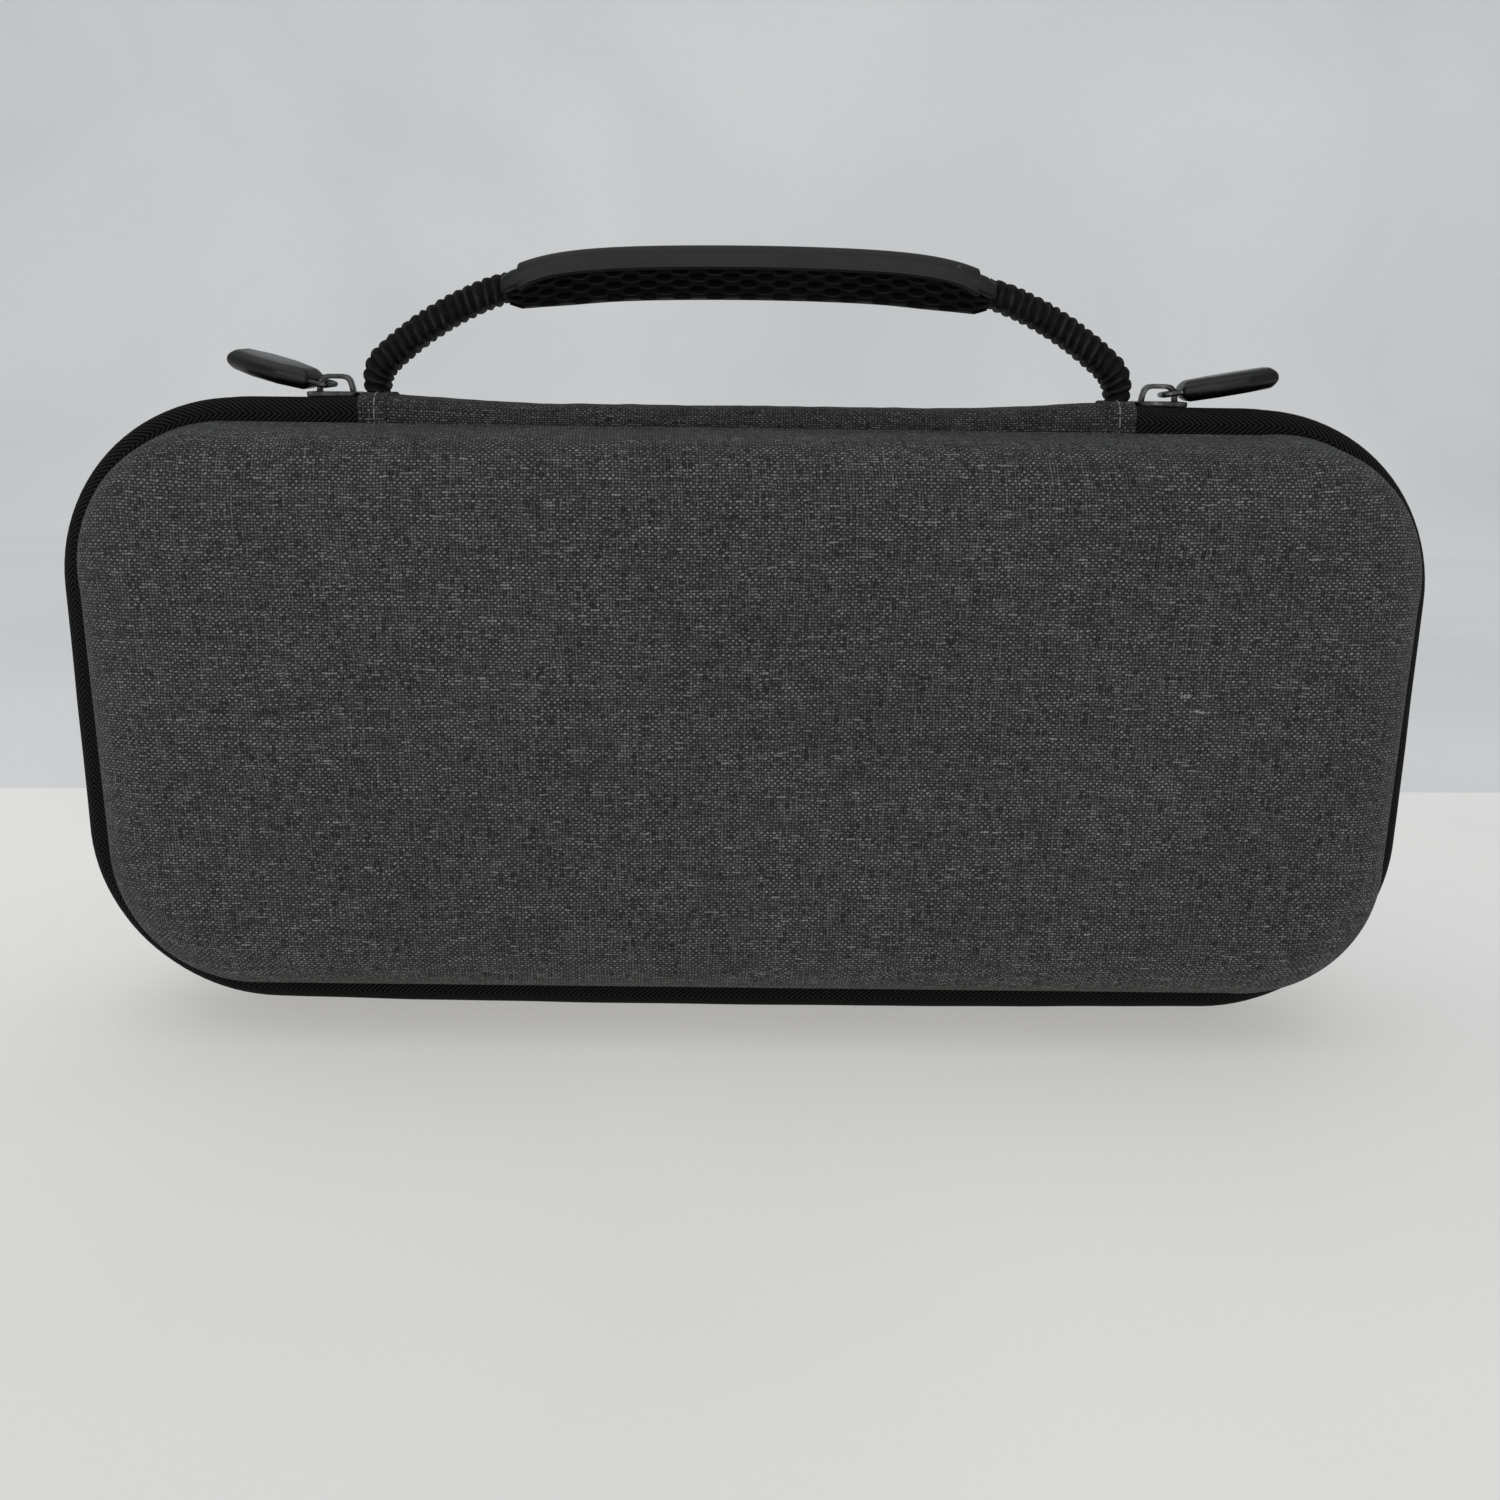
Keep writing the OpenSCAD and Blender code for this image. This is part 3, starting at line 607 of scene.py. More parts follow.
def shell_piece(side, name, body):
    hem_r, hem_x = 1.15, RIM_R - 1.3
    rim = [(RIM_R - SHELL_T / cos(DRAFT), HALF_BAND), (RIM_R - 2.4, HALF_BAND)]
    rim += arc((hem_x, HALF_BAND + hem_r), hem_r, -pi / 2, -DRAFT * 0.4, 4)
    rim += [p for p in wall(0.0) if p[1] > HALF_BAND + 2.0]
    outer = tray(rim, side, lambda v: crowned(v, *FACE_SHIFT[side]))
    shape = joined([outer, tray(wall(SHELL_T, 6), side)])
    seat(piece(name + "_shell_cloth", shape, SHELL_CLOTH), body, "shell_cloth", name + "_shell")


def lining_piece(side, name, body):
    shape = joined([tray(wall(SHELL_T + 0.04, 6), side), tray(wall(INNER_T, 8), side)])
    seat(piece(name + "_lining_cloth", shape, LINING_CLOTH), body, "lining_cloth", name + "_lining")


def binding_piece(side, name, body):
    """The tape folded over the lining's edge, and the row of stitches that holds it."""
    t, low, end = BINDING_T, HALF_BAND - TAPE_T, HALF_BAND + BINDING_W
    x0 = RIM_R - INNER_T / cos(DRAFT) - 0.02
    x1 = x0 - BINDING_W * tan(DRAFT)
    profile = [(x0 - t + 0.3, low + 0.05), (FLANGE_X - 0.05, low + 0.05), (FLANGE_X - 0.05, HALF_BAND - 0.02),
               (x0, HALF_BAND - 0.02), (x1, end), (x1 - 0.5 * t, end + 0.1), (x1 - 0.9 * t, end - 0.4),
               (x1 - t, end - 1.2), (x0 - t - 0.75, HALF_BAND + 2.2), (x0 - t, HALF_BAND + 0.2), (x0 - t, low + 0.5)]
    tape = piece(name + "_binding_tape", swept(profile, RING, side, loop=True), BINDING_TAPE, 60)
    seat(tape, body, "binding_tape", name + "_binding")
    pitch, length, sewn_r = 3.2, 2.3, x0 - t - 0.95
    run, data = along(RING + RING[:1], x0), np.array(RING + RING[:1])
    ring, norm = data[:, :2] + data[:, 2:] * sewn_r, data[:, 2:]
    rows = []
    for q in np.arange(0, run[-1] - pitch, pitch):
        ends = [np.array([np.interp(at, run, ring[:, 0]), side * (HALF_BAND + 2.8),
                          MID_Z + np.interp(at, run, ring[:, 1])]) for at in (q, q + length)]
        up = -np.array([np.interp(q, run, norm[:, 0]), 0.0, np.interp(q, run, norm[:, 1])])
        rows.append(stitch(*ends, up, 0.2, 0.3))
    seat(piece(name + "_binding_stitches", joined(rows), DARK_THREAD), body, "binding_tape")


for side, name, body in HALVES:
    shell_piece(side, name, body)
    lining_piece(side, name, body)
    binding_piece(side, name, body)


# ---- seams between the shells and the spine: a lip in each upper corner, and a gusset strip along the top

LIP = [(RIM_R - 3.5, 7.9), (RIM_R + 0.5, 7.8), (RIM_R + 1.6, 7.6), (RIM_R + 1.6, 7.1), (RIM_R + 0.5, 7.1),
       (RIM_R - 3.5, 7.2)]
LIP_ARCS = ((CX, 24, 89.4), (-CX, 90.6, 156))
GUSSET_LINE = np.linspace(RIM_R - 3.3, RIM_R - 0.15, 11)
GUSSET_OUT, GUSSET_IN = 9.94, 9.78
GUSSET = [(r, GUSSET_OUT) for r in GUSSET_LINE] + [(r, GUSSET_IN) for r in GUSSET_LINE[::-1]]


def lip_reach(station, point, s, length):
    """The lip stays short beside the spine and reaches further round the corner."""
    return (3.3 * min(1.0, 400 * (1 - station[3])) if point[0] > RIM_R else 0.0), 0.0


for side, name, body in HALVES:
    arcs = [[(cx, CZ, cos(a), sin(a)) for a in np.linspace(radians(a0), radians(a1), 16)] for cx, a0, a1 in LIP_ARCS]
    lip = joined([swept(LIP, run, side, shift=lip_reach) for run in arcs])
    seat(piece(name + "_seam_lip", lip, BINDING_TAPE, 60), body, "binding_tape")
    ends = [[(sign * CX, CZ, sign * cos(a), sin(a)) for a in np.radians((82, 85, 88))] for sign in (1, -1)]
    strip = swept(GUSSET, ends[0] + straight(CX, CZ, -CX, CZ, 90, 40) + ends[1][::-1], side)
    gusset = piece(name + "_seam_gusset", strip, BINDING_TAPE, 60)
    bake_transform(gusset)


# ---- zip band: tapes and coils, which leave the spine's tails in the two upper corners


def tape_profile():
    half, edge, under = HALF_BAND - 0.03, TAPE_GAP / 2, BAND_TOP - TAPE_T
    centre, flange = (BAND_TOP - BAND_R, half - BAND_R), FLANGE_X + 3.2
    outer = [(FLANGE_X, half), (flange, half)] + arc(centre, BAND_R, pi / 2, 0, 7)
    outer += [(BAND_TOP, edge + 1.7), (BAND_TOP - 0.05, edge + 0.4), (BAND_TOP - 0.35, edge + 0.05)]
    inner = [(under + 0.3, edge + 0.05), (under, edge + 0.35), (under, edge + 1.7)]
    inner += arc(centre, BAND_R - TAPE_T, 0, pi / 2, 6)
    return outer + inner + [(flange, half - TAPE_T), (FLANGE_X, half - TAPE_T)]


TAPE = tape_profile()


def foot_bow(station, r):
    """The band under the case bows: it rises a little from the middle to the lower corners."""
    cx, _, nx, nz = station
    return -1.7 * max(0.0, -nz) * min(1.0, abs(cx + nx * r) / 160) ** 2


def band_shift(seed):
    def shift(station, point, s, length):
        r, share = point[0], s / length
        free = unit((r - RIM_R) / BAND_PROUD) * min(1.0, 12 * share, 12 * (1 - share))
        return foot_bow(station, r) + 0.14 * free * drift(s, seed, 15), 0.18 * free * drift(s, seed + 3, 22)
    return shift


COIL_PITCH = 1.25
TOOTH = ((-0.42, 0.62), (-0.27, 1.0), (0.27, 1.0), (0.42, 0.62))  # along the coil: place and size of each ring


def coil_teeth(stations, side):
    """A row of rounded nylon teeth under the tape's free edge."""
    mid_r, mid_d = BAND_TOP - TAPE_T - COIL_H / 2, TAPE_GAP / 2 - 0.6 + COIL_W / 2
    run, data = along(stations, BAND_TOP), np.array(stations)
    ring = [(COIL_H / 2 * bulged(cos(a), 0.7), COIL_W / 2 * bulged(sin(a), 0.7))
            for a in np.arange(8) * pi / 4 + pi / 8]
    parts = []
    for q in np.arange(COIL_PITCH / 2, run[-1], COIL_PITCH):
        cx, cz, nx, nz = (np.interp(q, run, data[:, c]) for c in range(4))
        bow = foot_bow((cx, cz, nx, nz), mid_r)
        verts = []
        for shift, size in TOOTH:
            for r, d in ring:
                rr = mid_r + r * size + bow
                verts.append((cx + nx * rr - nz * shift, side * (mid_d + d * size), MID_Z + cz + nz * rr + nx * shift))
        parts.append((np.array(verts), loft(len(TOOTH), len(ring)), None))
    return joined(parts)


FOLD_TURN, FOLD_REACH = 60.0, 32.0  # of each upper corner, the stretch next to the spine, made apart from the main run
N_FOLD = int(N_CORNER * FOLD_TURN / 90)
RIGHT_TURN = RIGHT_BEND + [(CX, CZ, 0.0, 1.0)]
MAIN_RUN = LEFT_BEND[N_FOLD:] + LOWER_RUN + RIGHT_TURN[:N_CORNER - N_FOLD + 1]
FOLD_RUNS = {"left": LEFT_BEND[:N_FOLD + 1], "right": RIGHT_TURN[N_CORNER - N_FOLD:]}
FOLD_LEN, MAIN_LEN = along(FOLD_RUNS["left"], RIM_R)[-1], along(MAIN_RUN, RIM_R)[-1]
FOLD_U = {"left": 0.0, "right": FOLD_LEN + MAIN_LEN}

for side, name, body in HALVES:
    tape, teeth = swept(TAPE, MAIN_RUN, side, FOLD_LEN, shift=band_shift(side)), coil_teeth(MAIN_RUN, side)
    seat(piece(name + "_zip_band", tape, ZIP_TAPE, 50), body, "zip_tape", name + "_zip_tape")
    seat(piece(name + "_coil_teeth", teeth, COIL_NYLON, 50), body, "zip_coil", name + "_zip_coil")
    for sign, where in SIDES:
        run = FOLD_RUNS[where]
        fold = piece(f"{name}_zip_fold_{where}", swept(TAPE, run, side, FOLD_U[where]), ZIP_TAPE, 50)
        curl = piece(f"{name}_coil_fold_{where}", coil_teeth(run, side), COIL_NYLON, 50)
        for ob, slot in ((fold, "zip_tape"), (curl, "zip_coil")):
            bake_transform(ob)


# ---- spine: cloth strip, stitched cuffs and the zip's two tails


def spine_lift(x):
    """The spine's cloth is pulled up at the strap's feet and sags between them."""
    a = abs(x)
    return math.exp(-((a - FOOT_X) / 16) ** 2) - 0.9 * unit((88 - a) / 34) ** 1.5


def loose(h):
    """How freely the cloth moves at a height: not at the rim, and fully on the band's top."""
    return unit((h - RIM_R + 0.5) / 5)


def arch_line(half, top, r):
    """A line over the band from one flange to the other: (height, across)."""
    pts = [(FLANGE_X + SEAM_GAP, half), (FLANGE_X + 3.5, half)] + arc((top - r, half - r), r, pi / 2, 0, 7)
    pts += [(top, (half - r) * q) for q in (0.66, 0.33)]
    return pts + [(top, 0.0)] + [(h, -y) for h, y in pts[::-1]]


def arch_run(x0, x1, n, half, top, t, seed, fold, hem=0.0):
    """An arched strip along X, from x0 to x1, with folds across it; hem rounds its two ends."""
    outer, inner = arch_line(half, top, BAND_R), arch_line(half - t, top - t, BAND_R - t)
    wide, m = across(outer), len(outer)
    section = [(p, w, 1.0) for p, w in zip(outer, wide)] + [(p, w, 0.0) for p, w in zip(inner, wide)][::-1]
    verts, uv = [], []
    for x in np.linspace(x0, x1, n):
        edge = min(abs(x - x0), abs(x1 - x))
        thin = hem * (1 - sqrt(max(0.0, 1 - (1 - min(1.0, edge / hem)) ** 2))) if hem else 0.0
        for (h, y), w, outside in section:
            free, lean, cut = loose(h), abs(y) / half, thin * outside
            crease = fold * (drift(x, seed, 4.5) + 0.6 * drift(x + y * 0.5, seed + 2, 9.0)) * free
            verts.append((x, y + np.sign(y) * (crease * 0.5 - cut) * lean,
                          ARCH_Z + h + spine_lift(x) * free + crease - cut * (1 - 0.5 * lean)))
            uv.append((x, w))
    k = 2 * m
    faces = loft(n, k)[:-2]
    for a in (0, (n - 1) * k):
        faces += [(a + b, a + b + 1, a + k - 2 - b, a + k - 1 - b) for b in range(m - 1)]
    return np.array(verts), faces, np.array(uv)


def cuff_stitches(sign):
    """A row of stitches over the cuff."""
    first, pitch, length, at_x = 2.2, 2.9, 2.2, SPINE_LEN / 2 - 4.4
    line = np.array(arch_line(HALF_BAND - SEAM_GAP + 0.3, BAND_TOP + CUFF_PROUD + 0.25, BAND_R))
    far = across(line)
    rows = []
    for q in np.arange(first, far[-1] - 2.4, pitch):
        ends = []
        for s in (q, q + length):
            h, y = np.interp(s, far, line[:, 0]), np.interp(s, far, line[:, 1])
            ends.append(np.array([sign * at_x, y, ARCH_Z + h + spine_lift(at_x) * loose(h)]))
        turn = np.array([0.0, ends[1][2] - ends[0][2], ends[0][1] - ends[1][1]])
        turn /= np.linalg.norm(turn)
        middle = (ends[0] + ends[1]) / 2 - np.array([0, 0, ARCH_Z + BAND_TOP - 5])
        rows.append(stitch(*ends, turn * np.sign(turn @ middle), 0.21, 0.2))
    return joined(rows)


TAIL_START, FLANGE_D = SPINE_LEN / 2 - 0.2, 7.0
TAIL_X = np.linspace(TAIL_START, CX, 24)
TAIL_RUNS = {"left": [(-x, CZ, 0.0, 1.0) for x in TAIL_X], "right": [(x, CZ, 0.0, 1.0) for x in TAIL_X[::-1]]}
TAIL_U = {"left": TAIL_START - CX, "right": 2 * FOLD_LEN + MAIN_LEN}
SHUT_X = SLIDER_X + NECK_X - 0.6  # the zip's closed end, under the parked slider


def tail_set(station, point, s, length):
    """Towards the cuff, a tail's tapes are drawn in and rise with the spine's cloth."""
    (r, d), x = point, abs(station[0])
    past = x - SPINE_LEN / 2
    inset = SEAM_GAP * max(0.0, 1 - past / 24) if d > FLANGE_D else 0.0
    return 0.6 * spine_lift(x) * max(0.0, 1 - past / 26) * loose(r), -inset


def tail_bridge(sign):
    """The cloth that shuts the gap between the two tapes of a tail."""
    y, low = TAPE_GAP / 2 + 0.2, -TAPE_T
    verts = [(sign * x, across_y, CROWN - 0.12 + dz) for x in (TAIL_START, SHUT_X)
             for across_y, dz in ((y, 0.0), (-y, 0.0), (-y, low), (y, low))]
    return np.array(verts), loft(2, 4), np.array([(v[0], v[1] + 20) for v in verts])


STRIP_X = SPINE_LEN / 2 - CUFF_LEN
strip = arch_run(-STRIP_X, STRIP_X, 150, HALF_BAND - SEAM_GAP, BAND_TOP, SPINE_T, 1.0, 0.16)
seat(piece("spine_cloth", strip, SPINE_CLOTH, 60), "spine", "spine_cloth", "spine_strip")

for sign, where in SIDES:
    low, high = sorted((sign * STRIP_X, sign * SPINE_LEN / 2))
    cuff = arch_run(low, high, 16, HALF_BAND - SEAM_GAP + 0.25, BAND_TOP + CUFF_PROUD + 0.2, SPINE_T + CUFF_PROUD,
                    5.0 + sign, 0.12, 0.7)
    seat(piece(f"cuff_cloth_{where}", cuff, SPINE_CLOTH, 60), "spine", "spine_cloth", f"spine_cuff_{where}")
    seat(piece(f"cuff_stitches_{where}", cuff_stitches(sign), PALE_THREAD), "spine", "spine_cloth")
    tails = [swept(TAPE, TAIL_RUNS[where], side, TAIL_U[where], shift=tail_set) for side in (FRONT, BACK)]
    tail = piece(f"zip_tail_band_{where}", joined(tails + [tail_bridge(sign)]), ZIP_TAPE, 50)
    seat(tail, "spine", "zip_tape", f"zip_tail_{where}")
    rail = [(sign * x, CZ, 0.0, 1.0) for x in (SHUT_X + 0.4, TAIL_END)]
    teeth = joined([coil_teeth(rail, side) for side in (FRONT, BACK)])
    seat(piece(f"tail_coil_{where}", teeth, COIL_NYLON, 50), "spine", "zip_coil")


# ---- handle: gathered covers and the moulded grip


def strap_at(s):
    """A point of the strap's middle line in (x, z), and the way it faces there."""
    if s < FOOT_RISE:
        return np.array([FOOT_X, FOOT_Z + s]), 0.0
    centre, r, a = BEND_C, FOOT_R, (s - FOOT_RISE) / FOOT_R
    if s >= FOOT_RISE + BEND_L:
        centre, r, a = ARM_C, ARM_R, FOOT_TURN + (s - FOOT_RISE - BEND_L) / ARM_R
    return centre + r * np.array([cos(a), sin(a)]), a


def strap_cover(sign):
    """A gathered tube of cloth over the webbing: slanting, uneven puckers with pinched valleys."""
    per, around = 14, 56
    n = GATHERS * per + 1
    reach = STRAP_L + 1.6
    shift = [0.2 * drift(g * 3.1, sign + 2.0, 1.7) for g in range(GATHERS + 4)]
    verts, uv = [], []
    for i in range(n):
        t = i / (n - 1)
        s = reach * t
        p, a = strap_at(s)
        slim = 1 - 0.30 * max(0.0, 1 - s / 11) ** 2 - 0.10 * max(0.0, (s - reach + 5) / 5) ** 2
        for k in range(around):
            q = 2 * pi * k / around
            cq, sq = cos(q), sin(q)
            g = t * GATHERS + 1 - 0.42 * cq + 0.13 * sq + 0.16 * drift(q * 2.2 + s * 0.3, 4.0 + sign, 1.1)
            g += np.interp(g, range(-1, GATHERS + 3), shift)
            fold = math.floor(g)
            puff = abs(sin(pi * g)) ** 0.6
            deep = 0.62 + 0.25 * drift(fold * 2.3 + q, 9.0 + sign, 1.3) + 0.2 * abs(cq) ** 3
            size = 0.12 - deep * (1 - puff) + 0.10 * sin(q * 13 + fold * 1.9) * puff
            size += 0.07 * drift(s * 4 + q * 9, fold, 0.8)
            u = (COVER_T / 2 - 0.1 + size) * slim * bulged(cq, 0.62)
            v = (COVER_W / 2 + size) * slim * bulged(sq, 0.62)
            verts.append((sign * (p[0] + u * cos(a)), v, p[1] + u * sin(a)))
            uv.append((g, k * 0.7))
    return verts, loft(n, around), uv


for sign, where in SIDES:
    cover = piece(f"gathered_cover_{where}", strap_cover(sign), STRAP_CLOTH, 70)
    seat(cover, "spine", "strap_cloth", f"strap_cover_{where}")


CAP_END, NOSE_END, CAP_H, CAP_R = GRIP_LEN / 2 - 1.6, GRIP_END + 1.4, CAP_T + 0.6, 2.6
CAP_TAPER, BELLY_TAPER = 9.0, 16.0  # lengths of the grip's tapered ends
NOSE_ROWS = (  # along, top and bottom under the cap's end, share of the grip's width
    (CAP_END - 9, -1.2, 2.8 - CAP_H, 0.95), (CAP_END - 5, -1.0, 1.8 - CAP_H, 0.955),
    (CAP_END - 2, -0.9, 0.6 - CAP_H, 0.955), (CAP_END, -1.0, -CAP_H - 0.3, 0.945),
    (CAP_END + 1.6, -1.5, -CAP_H - 0.8, 0.91), (NOSE_END - 1.4, -2.3, -CAP_H - 1.4, 0.84),
    (NOSE_END - 0.3, -3.0, -CAP_H - 1.6, 0.76), (NOSE_END, -3.7, -CAP_H - 1.2, 0.66))
KEEL_SLOPE, KEEL_R, BELLY_EDGE = radians(45), 3.0, 9.4
HEX_LONG, HEX_WIDE, HEX_D = 2.1, 1.45, 2.2
POCKET_RINGS = ((0.30, 0.0), (0.06, 0.16), (0.0, 0.5), (-0.4, HEX_D))  # growth and depth of a pocket's soft lip


def grip_drop(x):
    """How far the grip lies under its middle: a slight bow that turns down at the ends."""
    a = min(abs(x), CAP_END) / CAP_END
    return 1.9 * a ** 2 + 3.0 * a ** 6


def grip_cap():
    """The smooth cap: a rounded section swept along the bow and cut off square at its ends."""
    half = GRIP_W / 2
    section = [(half - 0.7, -CAP_H - 0.1), (half - 0.15, -CAP_H + 0.4)]
    section += arc((half - CAP_R, -CAP_R), CAP_R, 0, pi / 2, 7)
    section += [((half - CAP_R) * q, 0.3 * (1 - q * q)) for q in (0.66, 0.33)]
    ring = mirrored(section, -1, 1)
    ends = [(CAP_END, 0.5), (CAP_END - 0.15, 0.2), (CAP_END - 0.5, 0.0)]
    rows = [(-x, inset) for x, inset in ends] + [(x, 0.0) for x in np.linspace(-CAP_END + 2, CAP_END - 2, 80)]
    rows += ends[::-1]
    verts = []
    for x, inset in rows:
        end = max(0.0, (abs(x) - CAP_END + CAP_TAPER) / CAP_TAPER) ** 2
        for y, z in ring:
            low = -z / CAP_H
            verts.append((x, y * (1 - 0.07 * end) - np.sign(y) * min(inset, abs(y)),
                          GRIP_TOP - grip_drop(x) + z - inset * (1 - 2 * low) - 0.9 * end * low))
    return np.array(verts), loft(len(rows), len(ring)), None


def grip_nose(sign):
    """The tongue beyond each end of the cap, which the strap's cover runs into."""
    base, around = GRIP_TOP - grip_drop(CAP_END), 32
    verts = []
    for x, high, low, wide in NOSE_ROWS:
        mid, tall = base + (high + low) / 2, (high - low) / 2
        verts += [(sign * x, GRIP_W / 2 * wide * bulged(cos(q), 0.32), mid + tall * bulged(sin(q), 0.5))
                  for q in np.arange(around) * 2 * pi / around]
    return np.array(verts), loft(len(NOSE_ROWS), around), None


grip = joined([grip_cap(), grip_nose(-1), grip_nose(1)])
seat(piece("grip_cap", grip, GRIP_RUBBER), "spine", "grip_rubber", "handle_grip")


def hex_cell(x0, t0):
    """One cell of the flat honeycomb as points (along, round, deep): its outline, and a soft-lipped pocket unless the
    cell lies under the keel."""
    n = 12
    turn = [a * pi / 6 for a in range(n)]
    edge = [HEX_PITCH / sqrt(3) * (1.0 if a % 2 == 0 else cos(pi / 6)) for a in range(n)]
    rings = [(x0 + r * cos(q), t0 + r * sin(q), 0.0) for r, q in zip(edge, turn)]
    if t0 < 1.0:
        return np.array(rings), [tuple(range(n))], None
    for grow, deep in POCKET_RINGS:
        rings += [(x0 + (HEX_LONG + grow) * cos(q), t0 + (HEX_WIDE + grow) * bulged(sin(q), 0.9), deep) for q in turn]
    floor = n * len(POCKET_RINGS)
    faces = [(a + b, a + (b + 1) % n, a + n + (b + 1) % n, a + n + b) for a in range(0, floor, n) for b in range(n)]
    return np.array(rings), faces + [tuple(range(floor, floor + n))], None


def belly_curve():
    """Half of the belly's section, a blunt keel, from its middle to the cap's edge: points, inward normals, lengths."""
    deep = BELLY_T + CAP_T - CAP_H - 0.3
    pts = [(KEEL_R * sin(q), KEEL_R - KEEL_R * cos(q) - deep) for q in np.linspace(0, KEEL_SLOPE, 16)]
    y0, z0 = pts[-1]
    reach = (BELLY_EDGE - y0) / cos(KEEL_SLOPE)
    pts += [(y0 + r * cos(KEEL_SLOPE), z0 + r * sin(KEEL_SLOPE)) for r in np.linspace(0, reach, 24)[1:]]
    way = np.gradient(np.array(pts), axis=0)
    way /= np.linalg.norm(way, axis=1)[:, None]
    return np.array(pts), np.stack([-way[:, 1], way[:, 0]], axis=1), across(pts)


def all_of(work):
    return work.verts[:] + work.edges[:] + work.faces[:]


def grip_belly():
    """The honeycomb: true pockets in a flat mesh that is cut to size, mirrored, and then bent round the keel; the
    pockets' sunken faces take a darker rubber, as painted shade.
    """
    step, half_x = HEX_PITCH * sqrt(3) / 2, NOSE_END - 1.4
    pts, inward, length = belly_curve()
    length = length / 0.86  # the cells are pressed together round the keel
    spread = length[-1]
    cols, rows = int(half_x / step) + 2, int(spread / HEX_PITCH) + 2
    verts, faces, _ = joined([hex_cell(c * step, 2.5 + (k - (abs(c) % 2) / 2) * HEX_PITCH)
                              for c in range(-cols, cols + 1) for k in range(-1, rows + 1)])
    work = bmesh.new()
    me = bpy.data.meshes.new("belly")
    me.from_pydata(verts.tolist(), [], faces)
    work.from_mesh(me)
    bpy.data.meshes.remove(me)
    bmesh.ops.remove_doubles(work, verts=work.verts, dist=1e-4)
    for co, no in (((half_x, 0, 0), (1, 0, 0)), ((-half_x, 0, 0), (-1, 0, 0)),
                   ((0, spread, 0), (0, 1, 0)), ((0, 0, 0), (0, -1, 0))):
        bmesh.ops.bisect_plane(work, geom=all_of(work), dist=1e-5, plane_co=co, plane_no=no, clear_outer=True)
    # faces sunk into the pockets take the darker rubber: painted shade in the pockets
    for f in work.faces:
        f.material_index = int(min(v.co.z for v in f.verts) > 0.1)
    twin = bmesh.ops.duplicate(work, geom=all_of(work))["geom"]
    for v in twin:
        if isinstance(v, bmesh.types.BMVert):
            v.co.y = -v.co.y
    bmesh.ops.reverse_faces(work, faces=[f for f in twin if isinstance(f, bmesh.types.BMFace)])
    bmesh.ops.remove_doubles(work, verts=work.verts, dist=1e-4)
    made = bmesh.ops.extrude_edge_only(work, edges=[e for e in work.edges if e.is_boundary])
    lifted = {v for v in made["geom"] if isinstance(v, bmesh.types.BMVert)}
    for v in work.verts:
        x, t, d = v.co
        end = max(0.0, (abs(x) - CAP_END + BELLY_TAPER) / (NOSE_END - CAP_END + BELLY_TAPER)) ** 2
        top = GRIP_TOP - grip_drop(x) - CAP_H - 0.9 * end
        y, z, ny, nz = (np.interp(abs(t), length, c) for c in (*pts.T, *inward.T))
        slim, narrow = 1 - 0.62 * end, 1 - 0.30 * end
        y, z = math.copysign(1.0, t) * (y + d * ny) * narrow, top + (z + d * nz) * slim
        v.co = (x * 0.99, y * 0.9, top + 1.6) if v in lifted else (x, y, z)
    bmesh.ops.holes_fill(work, edges=[e for e in work.edges if e.is_boundary], sides=0)
    bmesh.ops.triangulate(work, faces=[f for f in work.faces if len(f.verts) > 16])
    work.verts.index_update()
    faces, marks = [[v.index for v in f.verts] for f in work.faces], [f.material_index for f in work.faces]
    verts = [tuple(v.co) for v in work.verts]
    work.free()
    return piece("grip_honeycomb", (verts, faces, None), SHADED_BELLY_RUBBER, 35, marks, POCKET_SHADE_RUBBER)


seat(grip_belly(), "spine", "grip_rubber")


# ---- sliders and pulls


def prism(outline, low, high):
    return np.array([(x, y, z) for z in (low, high) for x, y in outline]), loft(2, len(outline)), None


def bridge():
    """The arch over the slider's eye, from its outer and inner lines in (x, z)."""
    z0, top = PLAY + PLATE_T - 0.3, PLAY + PLATE_T + EYE_H
    outer = mirrored([(-5.0, z0), (-4.7, z0 + 1.8), (-4.2, top), (-3.2, top + 0.95), (-1.6, top + 1.2)], -1, 1)
    inner = mirrored([(-3.75, z0), (-3.5, z0 + 1.6), (-3.1, top - 0.7), (-2.5, top - 0.15), (-1.4, top)], -1, 1)
    y = BRIDGE_W / 2
    verts = [p for (xo, zo), (xi, zi) in zip(outer, inner)
             for p in ((xo, -y, zo), (xo, y, zo), (xi, y, zi), (xi, -y, zi))]
    return np.array(verts), loft(len(outer), 4), None


def slider_parts():
    """Top and bottom plates with a rounded nose, the neck between them and the arched bridge."""
    h, w, nose = SLIDER_LEN / 2, SLIDER_W / 2, 3.4
    half = [(h, w - 0.5), (h - 0.5, w), (-h + nose, w)]
    half += [(-h + nose + nose * cos(q), w - 2.2 + 2.2 * sin(q)) for q in np.linspace(radians(110), radians(170), 4)]
    outline = mirrored(half + [(-h, w - 2.6)], 1, -1)
    neck = mirrored([(NECK_X, NECK_W / 2), (NECK_X + NECK_LEN, NECK_W / 2)], 1, -1)
    low = TAPE_T + COIL_H + PLAY
    return joined([prism(outline, PLAY, PLAY + PLATE_T), prism(outline, -low - PLATE_T, -low),
                   prism(neck, -low - 0.5, PLAY + 0.5), bridge()])


